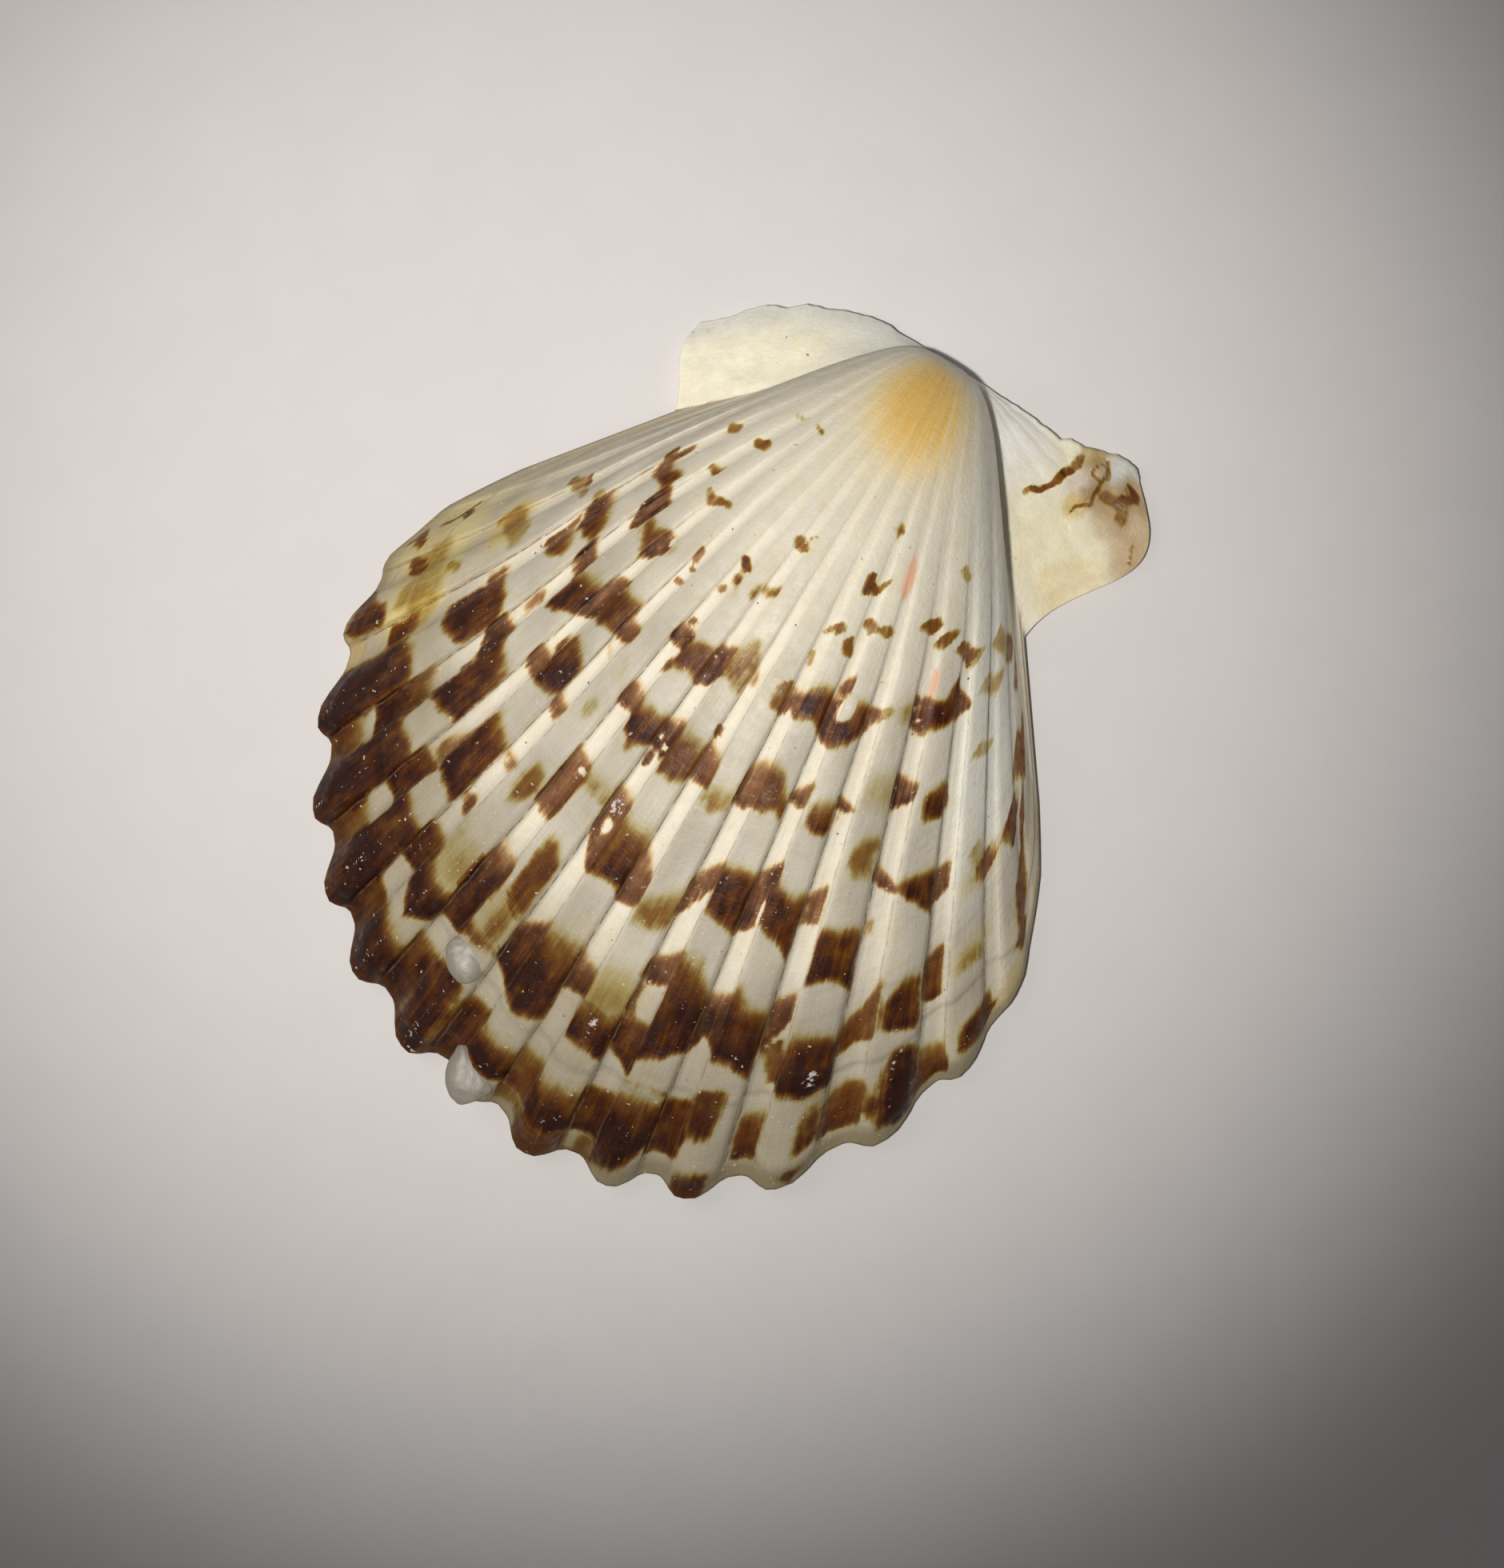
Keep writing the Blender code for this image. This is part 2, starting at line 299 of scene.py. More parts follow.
# growth sizes at which the shell paused, and the drop behind each lip in mm
GROWTH_STOPS = ((0.585, 0.02), (0.69, 0.03), (0.79, 0.04), (0.88, 0.20), (0.965, 0.10))
profile = rib_profile(np.clip(rib, FIRST, LAST)) * on_disc
worn = (0.5 + 0.5 * np.cos(2 * np.pi * off_rib(rib))) ** 0.6 * near_flank(rib) * on_disc
profile = worn + (profile - worn) * smooth_step(0.25, 0.55, size)
grown = size + 0.004 * waves(rib * 0.35, size, 3)


def steps(grown, profile):
    """A ledge at each growth stop: the shell rises slowly to a lip, then drops within half a millimetre."""
    total = 0
    for where, drop in GROWTH_STOPS:
        lip = where + 0.012 * profile + 0.05 * smooth_step(14.0, 15.3, rib) * smooth_step(0.8, 0.87, where)
        rise = smooth_step(lip - 0.07, lip, grown)
        total = total + drop * MM * rise * (1 - smooth_step(lip, lip + 0.007, grown))
    return total


relief = RIB_HEIGHT * size * smooth_step(0.13, 0.52, size) * profile * (1 - 0.35 * smooth_step(0.97, 1, size))
relief = relief + steps(grown, profile) * on_disc
print("highest rib in mm:", round(relief.max() / MM, 2))

# %% Fine lines, dents and pearls
LINE_SPACING = (0.62, 0.83)
FINE_LINE, DENT, RIPPLE = 0.006 * MM, 0.04 * MM, 0.02 * MM
# pearly swellings between the bands: rib, growth, half-widths of both, height in mm
PEARLS = ((4.02, 82.8, 0.22, 1.9, 0.16), (5.06, 84.2, 0.22, 1.9, 0.16), (10, 86.4, 0.24, 1.3, 0.14),
          (4.5, 91.8, 0.14, 1.6, 0.1), (3.4, 92.1, 0.14, 1.6, 0.1), (6.05, 81, 0.22, 1.6, 0.08),
          (8.9, 88.6, 0.22, 1.2, 0.1), (11, 87, 0.2, 1, 0.08))


def oval(across, at, level, wide, tall):
    """A soft oval spot: the product of a bell over the ribs and a bell over hundredths of the growth size."""
    return bump(across, at, wide) * bump(size * 100, level, tall)


phase = grown * SHELL_LENGTH * 2 * np.pi
growth_lines = np.sin(phase / LINE_SPACING[0])
growth_lines = growth_lines + 0.8 * np.sin(phase / LINE_SPACING[1] + 2 * waves(rib, size, 5))
growth_lines = growth_lines * (0.3 + 0.7 * waves(rib * 0.5, size * 9, 6) ** 2) * smooth_step(0.3, 0.75, size)
relief = relief + FINE_LINE * growth_lines
relief = relief + DENT * waves(rib * 0.5, size * 3.5, 7) * smooth_step(0.05, 0.3, size)
relief = relief + RIPPLE * waves(rib * 1.2, size * 9, 11) * smooth_step(0.3, 0.6, size) * on_disc
for at, level, wide, tall, swell in PEARLS:
    relief = relief + swell * MM * oval(rib, at, level, wide, tall)
print("relief of the outer face from", round(relief.min() / MM, 3), "to", round(relief.max() / MM, 3), "mm")

# %% [markdown]
# # Scars on the ears
# The outer corner of the right ear grew over sand or a worm: there are blisters with brown seams between
# them. Such one-off marks could be sculpted. They are easier to give as a few points in millimetres from the
# beak, with a function that measures how far every vertex lies from the line through them. The same distances
# shape the relief and place the colour.

# %% Distance to a line


def from_line(x, y, line):
    """Distance in mm from each point to the nearest part of a line of straight pieces."""
    nearest = np.full(x.shape, 1e9)
    for (x0, y0), (x1, y1) in zip(line[:-1], line[1:]):
        along = ((x - x0) * (x1 - x0) + (y - y0) * (y1 - y0)) / ((x1 - x0) ** 2 + (y1 - y0) ** 2)
        along = np.clip(along, 0, 1)
        nearest = np.minimum(nearest, np.hypot(x - x0 - along * (x1 - x0), y - y0 - along * (y1 - y0)))
    return nearest


SEAM = ((10.36, 0), (10.77, -0.56), (10.72, -1.39), (10.71, -2.02), (10.67, -2.5), (10.27, -3.05),
        (9.97, -3.5))
FOLD = ((9.8, -4.34), (12.08, -5.45), (13.1, -6.19))
FURROW = ((7.4, -4.9), (8.55, -6.0), (11.3, -8.8))
wobble = 0.12 * waves(ear_x * 0.9, ear_y * 0.9, 12)
from_seam = from_line(ear_x - wobble, ear_y + wobble, SEAM)
fold = from_line(ear_x, ear_y, FOLD)
furrow = from_line(ear_x, ear_y, FURROW)
print("the seam passes within", round(float(from_seam.min()), 3), "mm of a point of the mesh")

# %% Relief of the ears
# blisters: place in mm from the beak, radius and height in mm
BLISTERS = ((10.4, -0.85, 0.42, 0.15), (10.1, -2.05, 0.65, 0.15), (11.8, -1.2, 0.5, 0.2),
            (11.37, 0, 0.6, 0.1), (12.2, -3, 0.9, 0.08), (14.1, -3.9, 0.5, 0.12), (13.5, -2.4, 0.6, 0.08),
            (9.6, -0.4, 0.4, 0.08))
blister_height = sum(lift * bump(np.hypot(ear_x - x, ear_y - y), 0, r) for x, y, r, lift in BLISTERS)
creases = np.abs(np.sin(share * np.pi * 4.6 + 0.9)) ** 6 * (1 - smooth_step(0.5, 0.8, size))
on_right = 0.06 * waves(ear_x * 0.45, ear_y * 0.45, 13) - 0.03 * creases
on_right = on_right - 0.07 * bump(fold, 0, 0.3) - 0.05 * bump(furrow, 0, 0.4)
on_right = on_right + blister_height - 0.12 * bump(from_seam, 0, 0.14)
across_lines = 0.004 * np.sin(share * np.pi * 2 * 11 + 2 * waves(share, size * 3, 10))
dorsal_band = bump(share, 1.0, 0.22) * smooth_step(0.3, 0.6, size)
on_left = across_lines - 0.10 * dorsal_band + 0.05 * waves(ear_x * 0.4, ear_y * 0.4, 14)
ear_right = (rib > LAST) * smooth_step(0.0, 0.12, share)
ear_left = (rib < FIRST) * smooth_step(0.0, 0.12, share)
relief = relief + MM * smooth_step(0.1, 0.3, size) * (ear_right * on_right + ear_left * on_left)
outer = smooth + relief[:, :, None] * growth_up
print("blisters:", len(BLISTERS), "highest relief on the ear", round(float(on_right.max()), 2), "mm")

# %% [markdown]
# # The inside
# The inside of a valve is hollow and almost smooth. A Solidify modifier could give it an even wall, but a
# real wall thins towards the edge and is thick under the beak, where a plate carried the hinge. So the inner
# face follows the outer one a changing thickness below, and carries the ribs as grooves that fade towards the
# umbo. Under the beak its rows are drawn straight down to one point on that plate.

# %% Inner face
WALL, EDGE_WALL = 1.25 * MM, 0.8 * MM
UMBO_SIZE = 0.14
HINGE_PLATE = 2.4 * MM
INNER_EVERY_ROW, INNER_EVERY_LINE = 5, 2
wall = WALL + (EDGE_WALL - WALL) * smooth_step(0.75, 1, size)[:, :, None]
ribbed = (RIB_HEIGHT * size * profile * smooth_step(0.45, 1, size) * 0.9)[:, :, None]
inner = smooth - wall * smooth_normal + ribbed * growth_up
rim_row = int(round(np.searchsorted(row_size, UMBO_SIZE) / INNER_EVERY_ROW)) * INNER_EVERY_ROW
plate_point = BEAK + np.array([0, -HINGE_PLATE, 0])
to_rim = (row_size[:rim_row] / row_size[rim_row])[:, None, None]
inner[:rim_row] = plate_point + to_rim * (inner[rim_row] - plate_point)
inner[:, :, 2] = np.maximum(inner[:, :, 2], 0)
inner = inner[::INNER_EVERY_ROW, ::INNER_EVERY_LINE]
print("inner grid:", inner.shape[0], "rows by", inner.shape[1], "lines")

# %% [markdown]
# # Markings
# Calico scallops are splashed with brown, in bands that follow the growth lines and break at every rib. On a
# rib top the colour starts as a soft mustard fringe, darkens as the shell grows and stops short. In a trough
# it is dry and even. Random spots would give some calico shell, but not this one, so its bands are written
# down rib by rib and trough by trough: from which growth size to which, and how dark. They are
# colour only.

# %% The bands, by rib and trough
# A word is start ~ fringe - end tone (from : to). Starts, fringes and ends are hundredths of the growth size.
# Two or three of them are for the left side, the middle and the right side of the lane. The tone is
# m mustard, o orange, b brown or d dark. The last pair, if any, keeps the band to a part of the lane, in
# hundredths of a rib.
BANDS = {
    2.5: "44.8:45:46.5-50b(-20:0) 85.5~3-92.5:91.5b(-15:15)",
    3: "47.5:46:45~0.8-50.8:49.5:50b(-70:15) 56.3~2-61.5:60.5:58.2d(-70:20) 61.5~2.5-66.8:64:62.5b(-50:5) "
       "72:70.9:71.6~0.8-81.9:80.6:78.2d(-45:30) 72:73-75.7b(-60:-45) 86.5:85.5:84.8~1.5-103d(-36:30)",
    3.5: "41:39.4-42.3:41.4b 47.3:46.9~0.6-52.3:53.1:52.3d(-30:20) 57.3~0.8-61.3d(-28:20) "
         "64.5-68.2o(-13:8) 68~2-71m(-16:0) 70.5:69~0.8-74.3:75.3d 75-78b(10:20) 81~4.5-91.6d 92.5~4-103b",
    4: "49.6:49.3:47.5~0.8-51:51.8:51.9b 51-53.8m(-30:0) 59:57.5:56.2~2-65.5:63.3:61.3d "
       "70.5~1.6-82:80.8:78.6d 86.1:85.3:84.8~1-103d",
    4.5: "47.4:46.5~0.5-51.4:49.5d 55:53~0.5-60.7:59d 61.5-64b(5:16) 65.2:64~1-67.8:68.2b 72.3-74.3m(0:20) "
         "79:76~2-82o(-8:20) 82.7:81.2~1.4-90:89d 92.5~4-103b",
    5: "46:47-49:48.2:48o(-30:-14) 45.2~0.7-48m(0:23) 54:53.3:52~1.2-58.8:58:57b "
       "61:60.3:61~0.9-67.9:67:65.8d 72~1.8-81.6:81.9:81.6d 86~1.2-103d",
    5.5: "53.9:53.7~0.5-56.4b 57.2-58.3o(-10:18) 64.2~1-66.4b(-17:14) 72-73.2o 73-74.3o(-20:-12) "
         "78-80.2b(-8:14) 83.3~1.2-89.8:88.7d 93.4~1-103d",
    6: "50-51.8m(5:28) 55.5~2-58.5m(-30:30) 61~1-63.3o(-18:16) 69.3~1-74.5:74.8:72.8o(-14:26) "
       "72.8-76m(-30:-12) 79~2-86m 79.3-81.4o(0:12) 84.8:85.8:84.5~2.2-90:91.7:89.5d 92.6:93.2~2.4-103d",
    6.5: "42.2-43.8b(0:22) 49.2~0.3-51.4:51.8d 52.4-53.8:54.2b(8:24) 56.2~1-59.4:59.3b 64.6~1-72.2b "
         "76.8~2.2-88.2:87.6d 90.5~2-103d",
    7: "43.3-44.5o(-30:-8) 42-43.4m(-30:10) 41.7-43.5b(12:30) 49.8:49:48.2~0.9-53.4:52.4:52.2b "
       "56.9:56.6:55.8~2.2-60.2:60.8:59.6d 60-61.6d(-12:8) 65.2:65:64.2~1.2-67.4:66.9:66.4o "
       "71.9:72.2:73.4~1.2-81b(-15:26) 80-86m(-30:30) 80.5-86.3o(-6:14) 84.8~1.2-87:86.4:86.1b "
       "90~0.4-103d(-30:18) 90.6~3.5-103b(18:30)",
    7.5: "41.5:40.4-42.3:41.7b 47.7:47.2~0.4-52.7:50.8d 55.8:55.4~0.8-59.5d 63.5:64~1.2-69.2:71.5:72.8b "
         "80.6:78~1.2-85.8:87.6d 90.3~1.2-103d",
    8: "40.3-41.7m(-10:30) 46.6:45.4:46.2~0.8-50.5:50.1:50.4o 55.4~2.4-60.7:60.9:60.2b "
       "65.2~3-72.7:71.9:71.6d 78~4.2-87.8:89:87.7d 92~2.6-96.9d",
    8.5: "46.8:48.3-49.3:48.5o(-20:8) 54.5:55.7~1.6-59.3:58.9b 65.5:68.5~1-72.6:72.4b "
         "77.8:79.5~1.6-83.1:82.4b 90~3.6-97b 96.5-99o",
    9: "57.8~1.8-59.6:61.2:59.8o 70:69:67.4~2.6-73.5:73.5:73.2o 77~3.5-85m 82~3-87.2:87.3:88.1d "
       "89.6-92m(-13:-7) 91.5~3.8-97.5d 97-103b",
    9.5: "47.5:46.8~0.6-50.2:49.4:50.6b 54.8:53.8~1.4-59.1b 65.8:64~1-71.3:69.4:67.4b 75.5:73.4~1-78.1b "
         "77.5-82.5b(-20:-10) 82:81.8:82.5~1-85.9:87:88.4d 90.7~0.9-97.2d 97-103o",
    10: "46.3:46.1:46~1-50:49.9:50.8d 54:54.6:57~1.6-59.3:58.8:59.4b 59-60.2m(0:26) "
        "64.3~1.3-69.6:70.2:71.3d 74:74:76.5~3.2-86.5:85.6:84.4d 88.5~0.2-89.1b 89.7~2.6-99:98:96d",
    10.5: "45.2:44.3-46.4b(-10:24) 46.6~0.5-50.6:52d 55.9:55~0.8-57.4b 64.2:62.8~0.8-71:69.9d "
          "76.8~1.6-84.4:82.3:84.2d 89~1-97.1d",
    11: "46.9~0.5-52:51.4:50.4d 56.4~2.2-58.8:60.4:60.3b(-22:30) 65:66:66~1.6-70:71:73.4d "
        "75.4:78:78.3~2.4-84.8:85.1:86.6d 87.7~0.3-93.8:92.6b(-30:10) 97~0.5-103d(-22:18)",
    11.5: "46.8:47.4-50.5:48.4b(-20:12) 55.7:57.4-57.7:58d 57.7-59.3o(-20:-8) 66:65~1-69.2:69.8b(-20:14) "
          "77:76.4~1.4-83.8:82:80b(-20:14) 90~2.4-97.8b(-14:16)",
    12: "46.8~0.6-49.2:49.6m 47-49.9o(8:30) 53.8~1-57.4:57.8:59.2m "
        "62.3:60.4:60.8~1.2-64.8:65:66.3o(-18:30) 69.7:70:71.4~1.6-76.6:76.3:78.5d "
        "81.6:81.7:83~2.4-89.4:90:89.8d 92.4~2-96.6m(-30:-5) 90.4~2.4-96.5b(8:30) 97.7-99.6b(0:20)",
    12.5: "46.5:48~0.4-49.8:51.2:51.8d 54.8:56.5~0.4-58.7:59.2d 63.8:68-66.3:69.4b 70.4-72.6o(-20:-3) "
          "82.4:81:78~1.4-86.6:85.5:86b 91:89.6:91~1.8-97.3b",
    13: "48.2:48.5:46.6~0.5-51.6:52.1:52.5d 57~1-58.8m(-25:-8) 58:58.6~1-61.8:62.2:62.9d(-12:38) "
        "67.3:67.8:68.4~1.4-69:71.8:75d 73~1.5-75.2m(-28:-5) 74.5-80m(-28:-14) "
        "81.5:80:81~1.8-85:87.2:88.6d(-22:28) 91:89:90~1-97.5:98:99.6d(-12:30) 92.3~2.4-96.5b(-28:-10)",
    13.5: "47.8:50.7~0.4-52.4:51.9d 68.8:69~1-73.6:72.4b(-20:8) 79.5~1-85.8:87.2b(-22:10) 91:94~3-98.8b",
    14: "83.3~2.6-86:86.4:87.4o(-25:30) 93.1~1.2-97.2:97.4:98.4b(-12:42) 74~2-76.5m(-12:8)",
}
print("bands:", sum(len(words.split()) for words in BANDS.values()), "in", len(BANDS), "lanes")

# %% Painting one band
# each tone's depth of colour, and how much softer its edges are
TONES = {"m": (0.14, 3.0), "o": (0.40, 1.6), "b": (0.68, 1.0), "d": (0.88, 1.0)}
WORD = re.compile(r"([\d.:]+)(?:~([\d.]+))?-([\d.:]+)([mobd])(?:\((-?\d+):(-?\d+)\))?")
TOP_HALF, TROUGH_HALF = 0.30, 0.20
# how soft a band's sides are, in ribs, and its tips, in growth size; one that fills its lane has firm sides
TOP_SOFT, TROUGH_SOFT, FULL_SIDE = (0.10, 0.013), (0.05, 0.008), 0.035


def across_lane(text, off, half):
    """Turns one, two or three growth sizes into a curve across the lane."""
    values = np.array(text.split(":"), dtype=float) / 100
    return np.interp(off, np.linspace(-half, half, len(values)), values)


def paint(lane, word, lane_rib, lane_size):
    """One band: where it covers the shell, 0 to 1, and how deep its colour is there."""
    start, fringe, end, tone, left, right = WORD.fullmatch(word).groups()
    on_top = lane % 1 == 0
    half = TOP_HALF if on_top else TROUGH_HALF
    off = lane_rib - lane
    start, end = across_lane(start, off, half), across_lane(end, off, half)
    fringe = float(fringe or 0.5) / 100
    partial = left is not None
    left, right = (float(left) / 100, float(right) / 100) if partial else (-half - 0.02, half + 0.02)
    strength, blur = TONES[tone]
    side, tip = TOP_SOFT if on_top else TROUGH_SOFT
    side = (side if partial else FULL_SIDE) * blur
    tip = tip * blur
    cover = smooth_step(left - side, left + side, off) * (1 - smooth_step(right - side, right + side, off))
    cover = cover * smooth_step(start - tip - fringe * 0.25, start + tip + fringe * 0.5, lane_size)
    cover = cover * (1 - smooth_step(end - tip, end + tip, lane_size))
    growing = smooth_step(0, 1, (lane_size - start) / (fringe * 1.2 + 0.004))
    ripening = 0.78 + 0.3 * np.clip((lane_size - start) / (end - start), 0, 1)
    near_edge = 1 + (0.22 if on_top else -0.05) * smooth_step(0.82, 0.96, lane_size)
    return cover, strength * (0.3 + 0.7 * growing) * ripening * near_edge


print("tones from mustard to dark:", [depth for depth, blur in TONES.values()])

# %% Painting them all


def lay_over(pigment, depth, cover, deep):
    """The stronger of two layers of colour wins."""
    wins = cover * (0.4 + deep) > pigment * (0.4 + depth)
    return np.maximum(pigment, cover), np.where(wins, deep, depth)


lane_rib = rib + 0.02 * waves(rib * 0.9, size * 14, 21) * on_disc
lane_size = size + 0.0032 * waves(rib * 1.9, size * 18, 22)
pigment, depth = np.zeros_like(size), np.zeros_like(size)
for lane, words in BANDS.items():
    for word in words.split():
        pigment, depth = lay_over(pigment, depth, *paint(lane, word, lane_rib, lane_size))
depth = depth * (1 - 0.35 * smooth_step(0.982, 0.998, size))
print("share of the disc that is coloured:", round(float((pigment > 0.5)[on_disc].mean()), 2))

# %% [markdown]
# # Strokes and specks
# Towards the umbo the bands thin out into specks and short strokes, and on the flanks they run slanting
# across the weak ribs, so lanes no longer describe them. Each is a short line on the shell with a width and a
# depth of colour. To measure its distance in millimetres, the two shape numbers are first turned into
# millimetres.

# %% Strokes and specks
RIB_PITCH = 4.7
# each: rib and growth where it starts, the same where it ends, half-width in mm, depth
SPECKS = ((2.35, 39.8, 2.5, 38.5, 0.28, 0.3), (3.45, 35.4, 3.8, 34.6, 0.22, 0.38),
          (3.72, 34.4, 3.8, 34, 0.2, 0.46), (4.35, 28.1, 4.9, 28, 0.12, 0.33),
          (4.7, 28, 4.85, 28, 0.14, 0.46), (3.3, 29.6, 3.65, 29, 0.14, 0.16),
          (4.05, 42.4, 4.28, 42.2, 0.22, 0.18), (4.28, 42.1, 4.48, 41.6, 0.16, 0.38),
          (4.5, 41.3, 4.78, 40.6, 0.26, 0.46), (7.3, 36, 7.45, 36.6, 0.22, 0.46),
          (7.45, 36.8, 7.65, 36.6, 0.12, 0.33), (7.6, 35.1, 7.75, 35, 0.08, 0.22),
          (9.5, 41.5, 9.64, 40.8, 0.16, 0.38), (9.64, 40.8, 9.8, 41.2, 0.16, 0.46),
          (10.08, 41.8, 10.26, 43.1, 0.16, 0.48), (10.45, 39.4, 10.75, 40.4, 0.16, 0.41),
          (10.75, 40.4, 11.02, 40, 0.16, 0.41), (11.02, 39.9, 11.2, 40.5, 0.18, 0.46),
          (10.02, 35.4, 10.03, 37.2, 0.12, 0.7), (10.05, 36.3, 10.4, 36.7, 0.13, 0.51),
          (10.4, 36.6, 10.62, 35.6, 0.14, 0.33), (10.2, 30.3, 10.55, 30.4, 0.14, 0.22),
          (10.35, 30.7, 10.5, 30.7, 0.13, 0.43), (10.2, 31.6, 10.3, 31.6, 0.08, 0.22),
          (12.22, 39.4, 12.45, 40.3, 0.2, 0.51), (12.7, 41.6, 12.9, 42.4, 0.22, 0.5),
          (13.1, 34.6, 13.35, 36.2, 0.09, 0.16), (13.2, 43.5, 13.5, 45.2, 0.16, 0.46),
          (13.5, 45.2, 13.66, 46.2, 0.16, 0.51), (13.66, 46.2, 13.85, 46.8, 0.22, 0.2),
          (6.4, 41.2, 6.68, 41.8, 0.12, 0.76), (6.44, 44.6, 6.46, 44.9, 0.16, 0.33),
          (6.46, 48.6, 6.48, 49, 0.12, 0.51), (5.36, 44.7, 5.38, 45.5, 0.16, 0.34),
          (5.5, 46.4, 5.58, 46.4, 0.1, 0.37), (5.48, 48.2, 5.54, 48.2, 0.2, 0.45),
          (8.32, 53.8, 8.34, 54.4, 0.12, 0.68), (7.42, 59.9, 7.46, 60.8, 0.14, 0.8),
          (11.5, 83, 11.68, 87, 0.28, 0.51), (9.36, 43.8, 9.42, 44.8, 0.07, 0.22),
          (9.18, 47.8, 9.24, 49.6, 0.3, 0.41), (11.62, 48.2, 11.72, 48.6, 0.25, 0.28))
LEFT_FLANK = ((2.2, 48.4, 2.3, 49.6, 0.28, 0.45), (2.15, 60.3, 2.3, 59.5, 0.4, 0.2),
              (2.46, 62, 2.52, 66.5, 0.16, 0.54), (1.1, 67.6, 1.4, 65.2, 0.42, 0.3),
              (1.4, 65.2, 1.85, 63.2, 0.35, 0.17), (1.28, 64.2, 1.5, 63.4, 0.22, 0.51),
              (1.35, 76.2, 1.9, 73, 0.95, 0.24), (1.3, 77.5, 1.33, 78.5, 0.3, 0.24),
              (1.83, 84.5, 1.95, 82.5, 0.35, 0.2), (1.5, 89, 2.25, 87, 1.6, 0.17),
              (1.38, 93.8, 1.44, 91.5, 0.4, 0.46), (1.55, 93, 1.62, 90.5, 0.3, 0.51),
              (1.88, 91, 2.05, 91, 0.6, 0.17), (2.12, 94.5, 2.12, 98.2, 0.7, 0.76),
              (2.02, 95.5, 1.72, 100, 0.5, 0.54), (1.05, 94, 0.75, 97, 0.35, 0.51),
              (0.55, 90.5, 0.75, 88.5, 0.3, 0.54), (0.42, 90.2, 0.7, 92, 0.18, 0.48),
              (0.7, 92, 0.7, 94, 0.16, 0.4), (0.79, 96.9, 0.94, 97.7, 0.18, 0.36))
RIGHT_FLANK = ((14.6, 46.5, 15.3, 52, 0.25, 0.2), (14.1, 50.8, 14.8, 53.5, 0.3, 0.17),
               (15.3, 52, 16, 58, 0.25, 0.48), (13.95, 58.5, 14.4, 60, 0.25, 0.2),
               (14.02, 71, 14.2, 74, 0.25, 0.17), (14.25, 74.2, 14.45, 76, 0.5, 0.46),
               (15.9, 62, 16.3, 68, 0.22, 0.48), (15.5, 70, 16.2, 80, 0.45, 0.48),
               (15, 74, 15.3, 78, 0.5, 0.64), (15.65, 79.5, 15.6, 83.6, 0.35, 0.5),
               (15.31, 85, 15.3, 92.6, 0.62, 0.48), (15.1, 93, 15.3, 96, 0.3, 0.54),
               (14.41, 97.8, 14, 95.6, 0.4, 0.5))


def to_mm(rib, size):
    """Millimetres across and along the shell: rib * pitch * size, and size * length."""
    return rib * RIB_PITCH * np.clip(size, 0.1, 1), size * SHELL_LENGTH


across_mm, along_mm = to_mm(rib, size)
shake = 0.09 * waves(across_mm * 1.1, along_mm * 0.5, 31)
strokes = SPECKS + LEFT_FLANK + RIGHT_FLANK
for rib_a, grown_a, rib_b, grown_b, half_width, deep in strokes:
    ends = [to_mm(rib_a, grown_a / 100), to_mm(rib_b, grown_b / 100)]
    away = from_line(across_mm + shake, along_mm + shake, ends)
    cover = (1 - smooth_step(half_width * 0.3, half_width * 1.5 + 0.14, away)) * on_disc
    pigment, depth = lay_over(pigment, depth, cover, np.full_like(size, deep))
print("strokes:", len(strokes))

# %% Pale islands inside the bands
# rib, growth, half-widths of both
ISLANDS = ((10.77, 48.1, 0.24, 1.3), (9.54, 80.1, 0.15, 1.7), (4.61, 47.7, 0.08, 0.6),
           (7.4, 58.1, 0.07, 0.35), (7.6, 58.6, 0.07, 0.35), (10.62, 68.6, 0.05, 1.4),
           (7.52, 67.9, 0.08, 1), (12.36, 48.3, 0.05, 0.35), (12.48, 49.8, 0.07, 0.3),
           (6.62, 66.4, 0.08, 0.35), (9.4, 98.5, 0.06, 1.2), (6.5, 59.6, 0.15, 0.2))
for island in ISLANDS:
    pigment = pigment * (1 - smooth_step(0.12, 0.72, oval(rib, *island)))
print("islands:", len(ISLANDS))

# %% [markdown]
# # Ground colour
# Under the brown, the rib tops are smooth and grey-white, because the surf has polished them, and the troughs
# are chalky cream. The umbo is worn through to a yellow layer. Such tints could be a stack of noise nodes,
# but they keep to places on the shell, so each is mixed into one colour attribute on the mesh, with masks
# made from the same two numbers as the shape.

# %% Mixing colours


def linear(red, green, blue):
    """A screen colour of 0 to 255 as the linear light that shaders work in."""
    return (np.array([red, green, blue]) / 255) ** 2.2


def tint(ground, colour, mask):
    """Blends a colour over the ground where the mask is 1."""
    return ground + (colour - ground) * np.clip(mask, 0, 1)[:, :, None]


def lay_tints(ground, *tints):
    """Blends several (colour, mask) tints over the ground, one after the other."""
    for colour, mask in tints:
        ground = tint(ground, colour, mask)
    return ground


print("middle grey as linear light:", np.round(linear(128, 128, 128), 3))

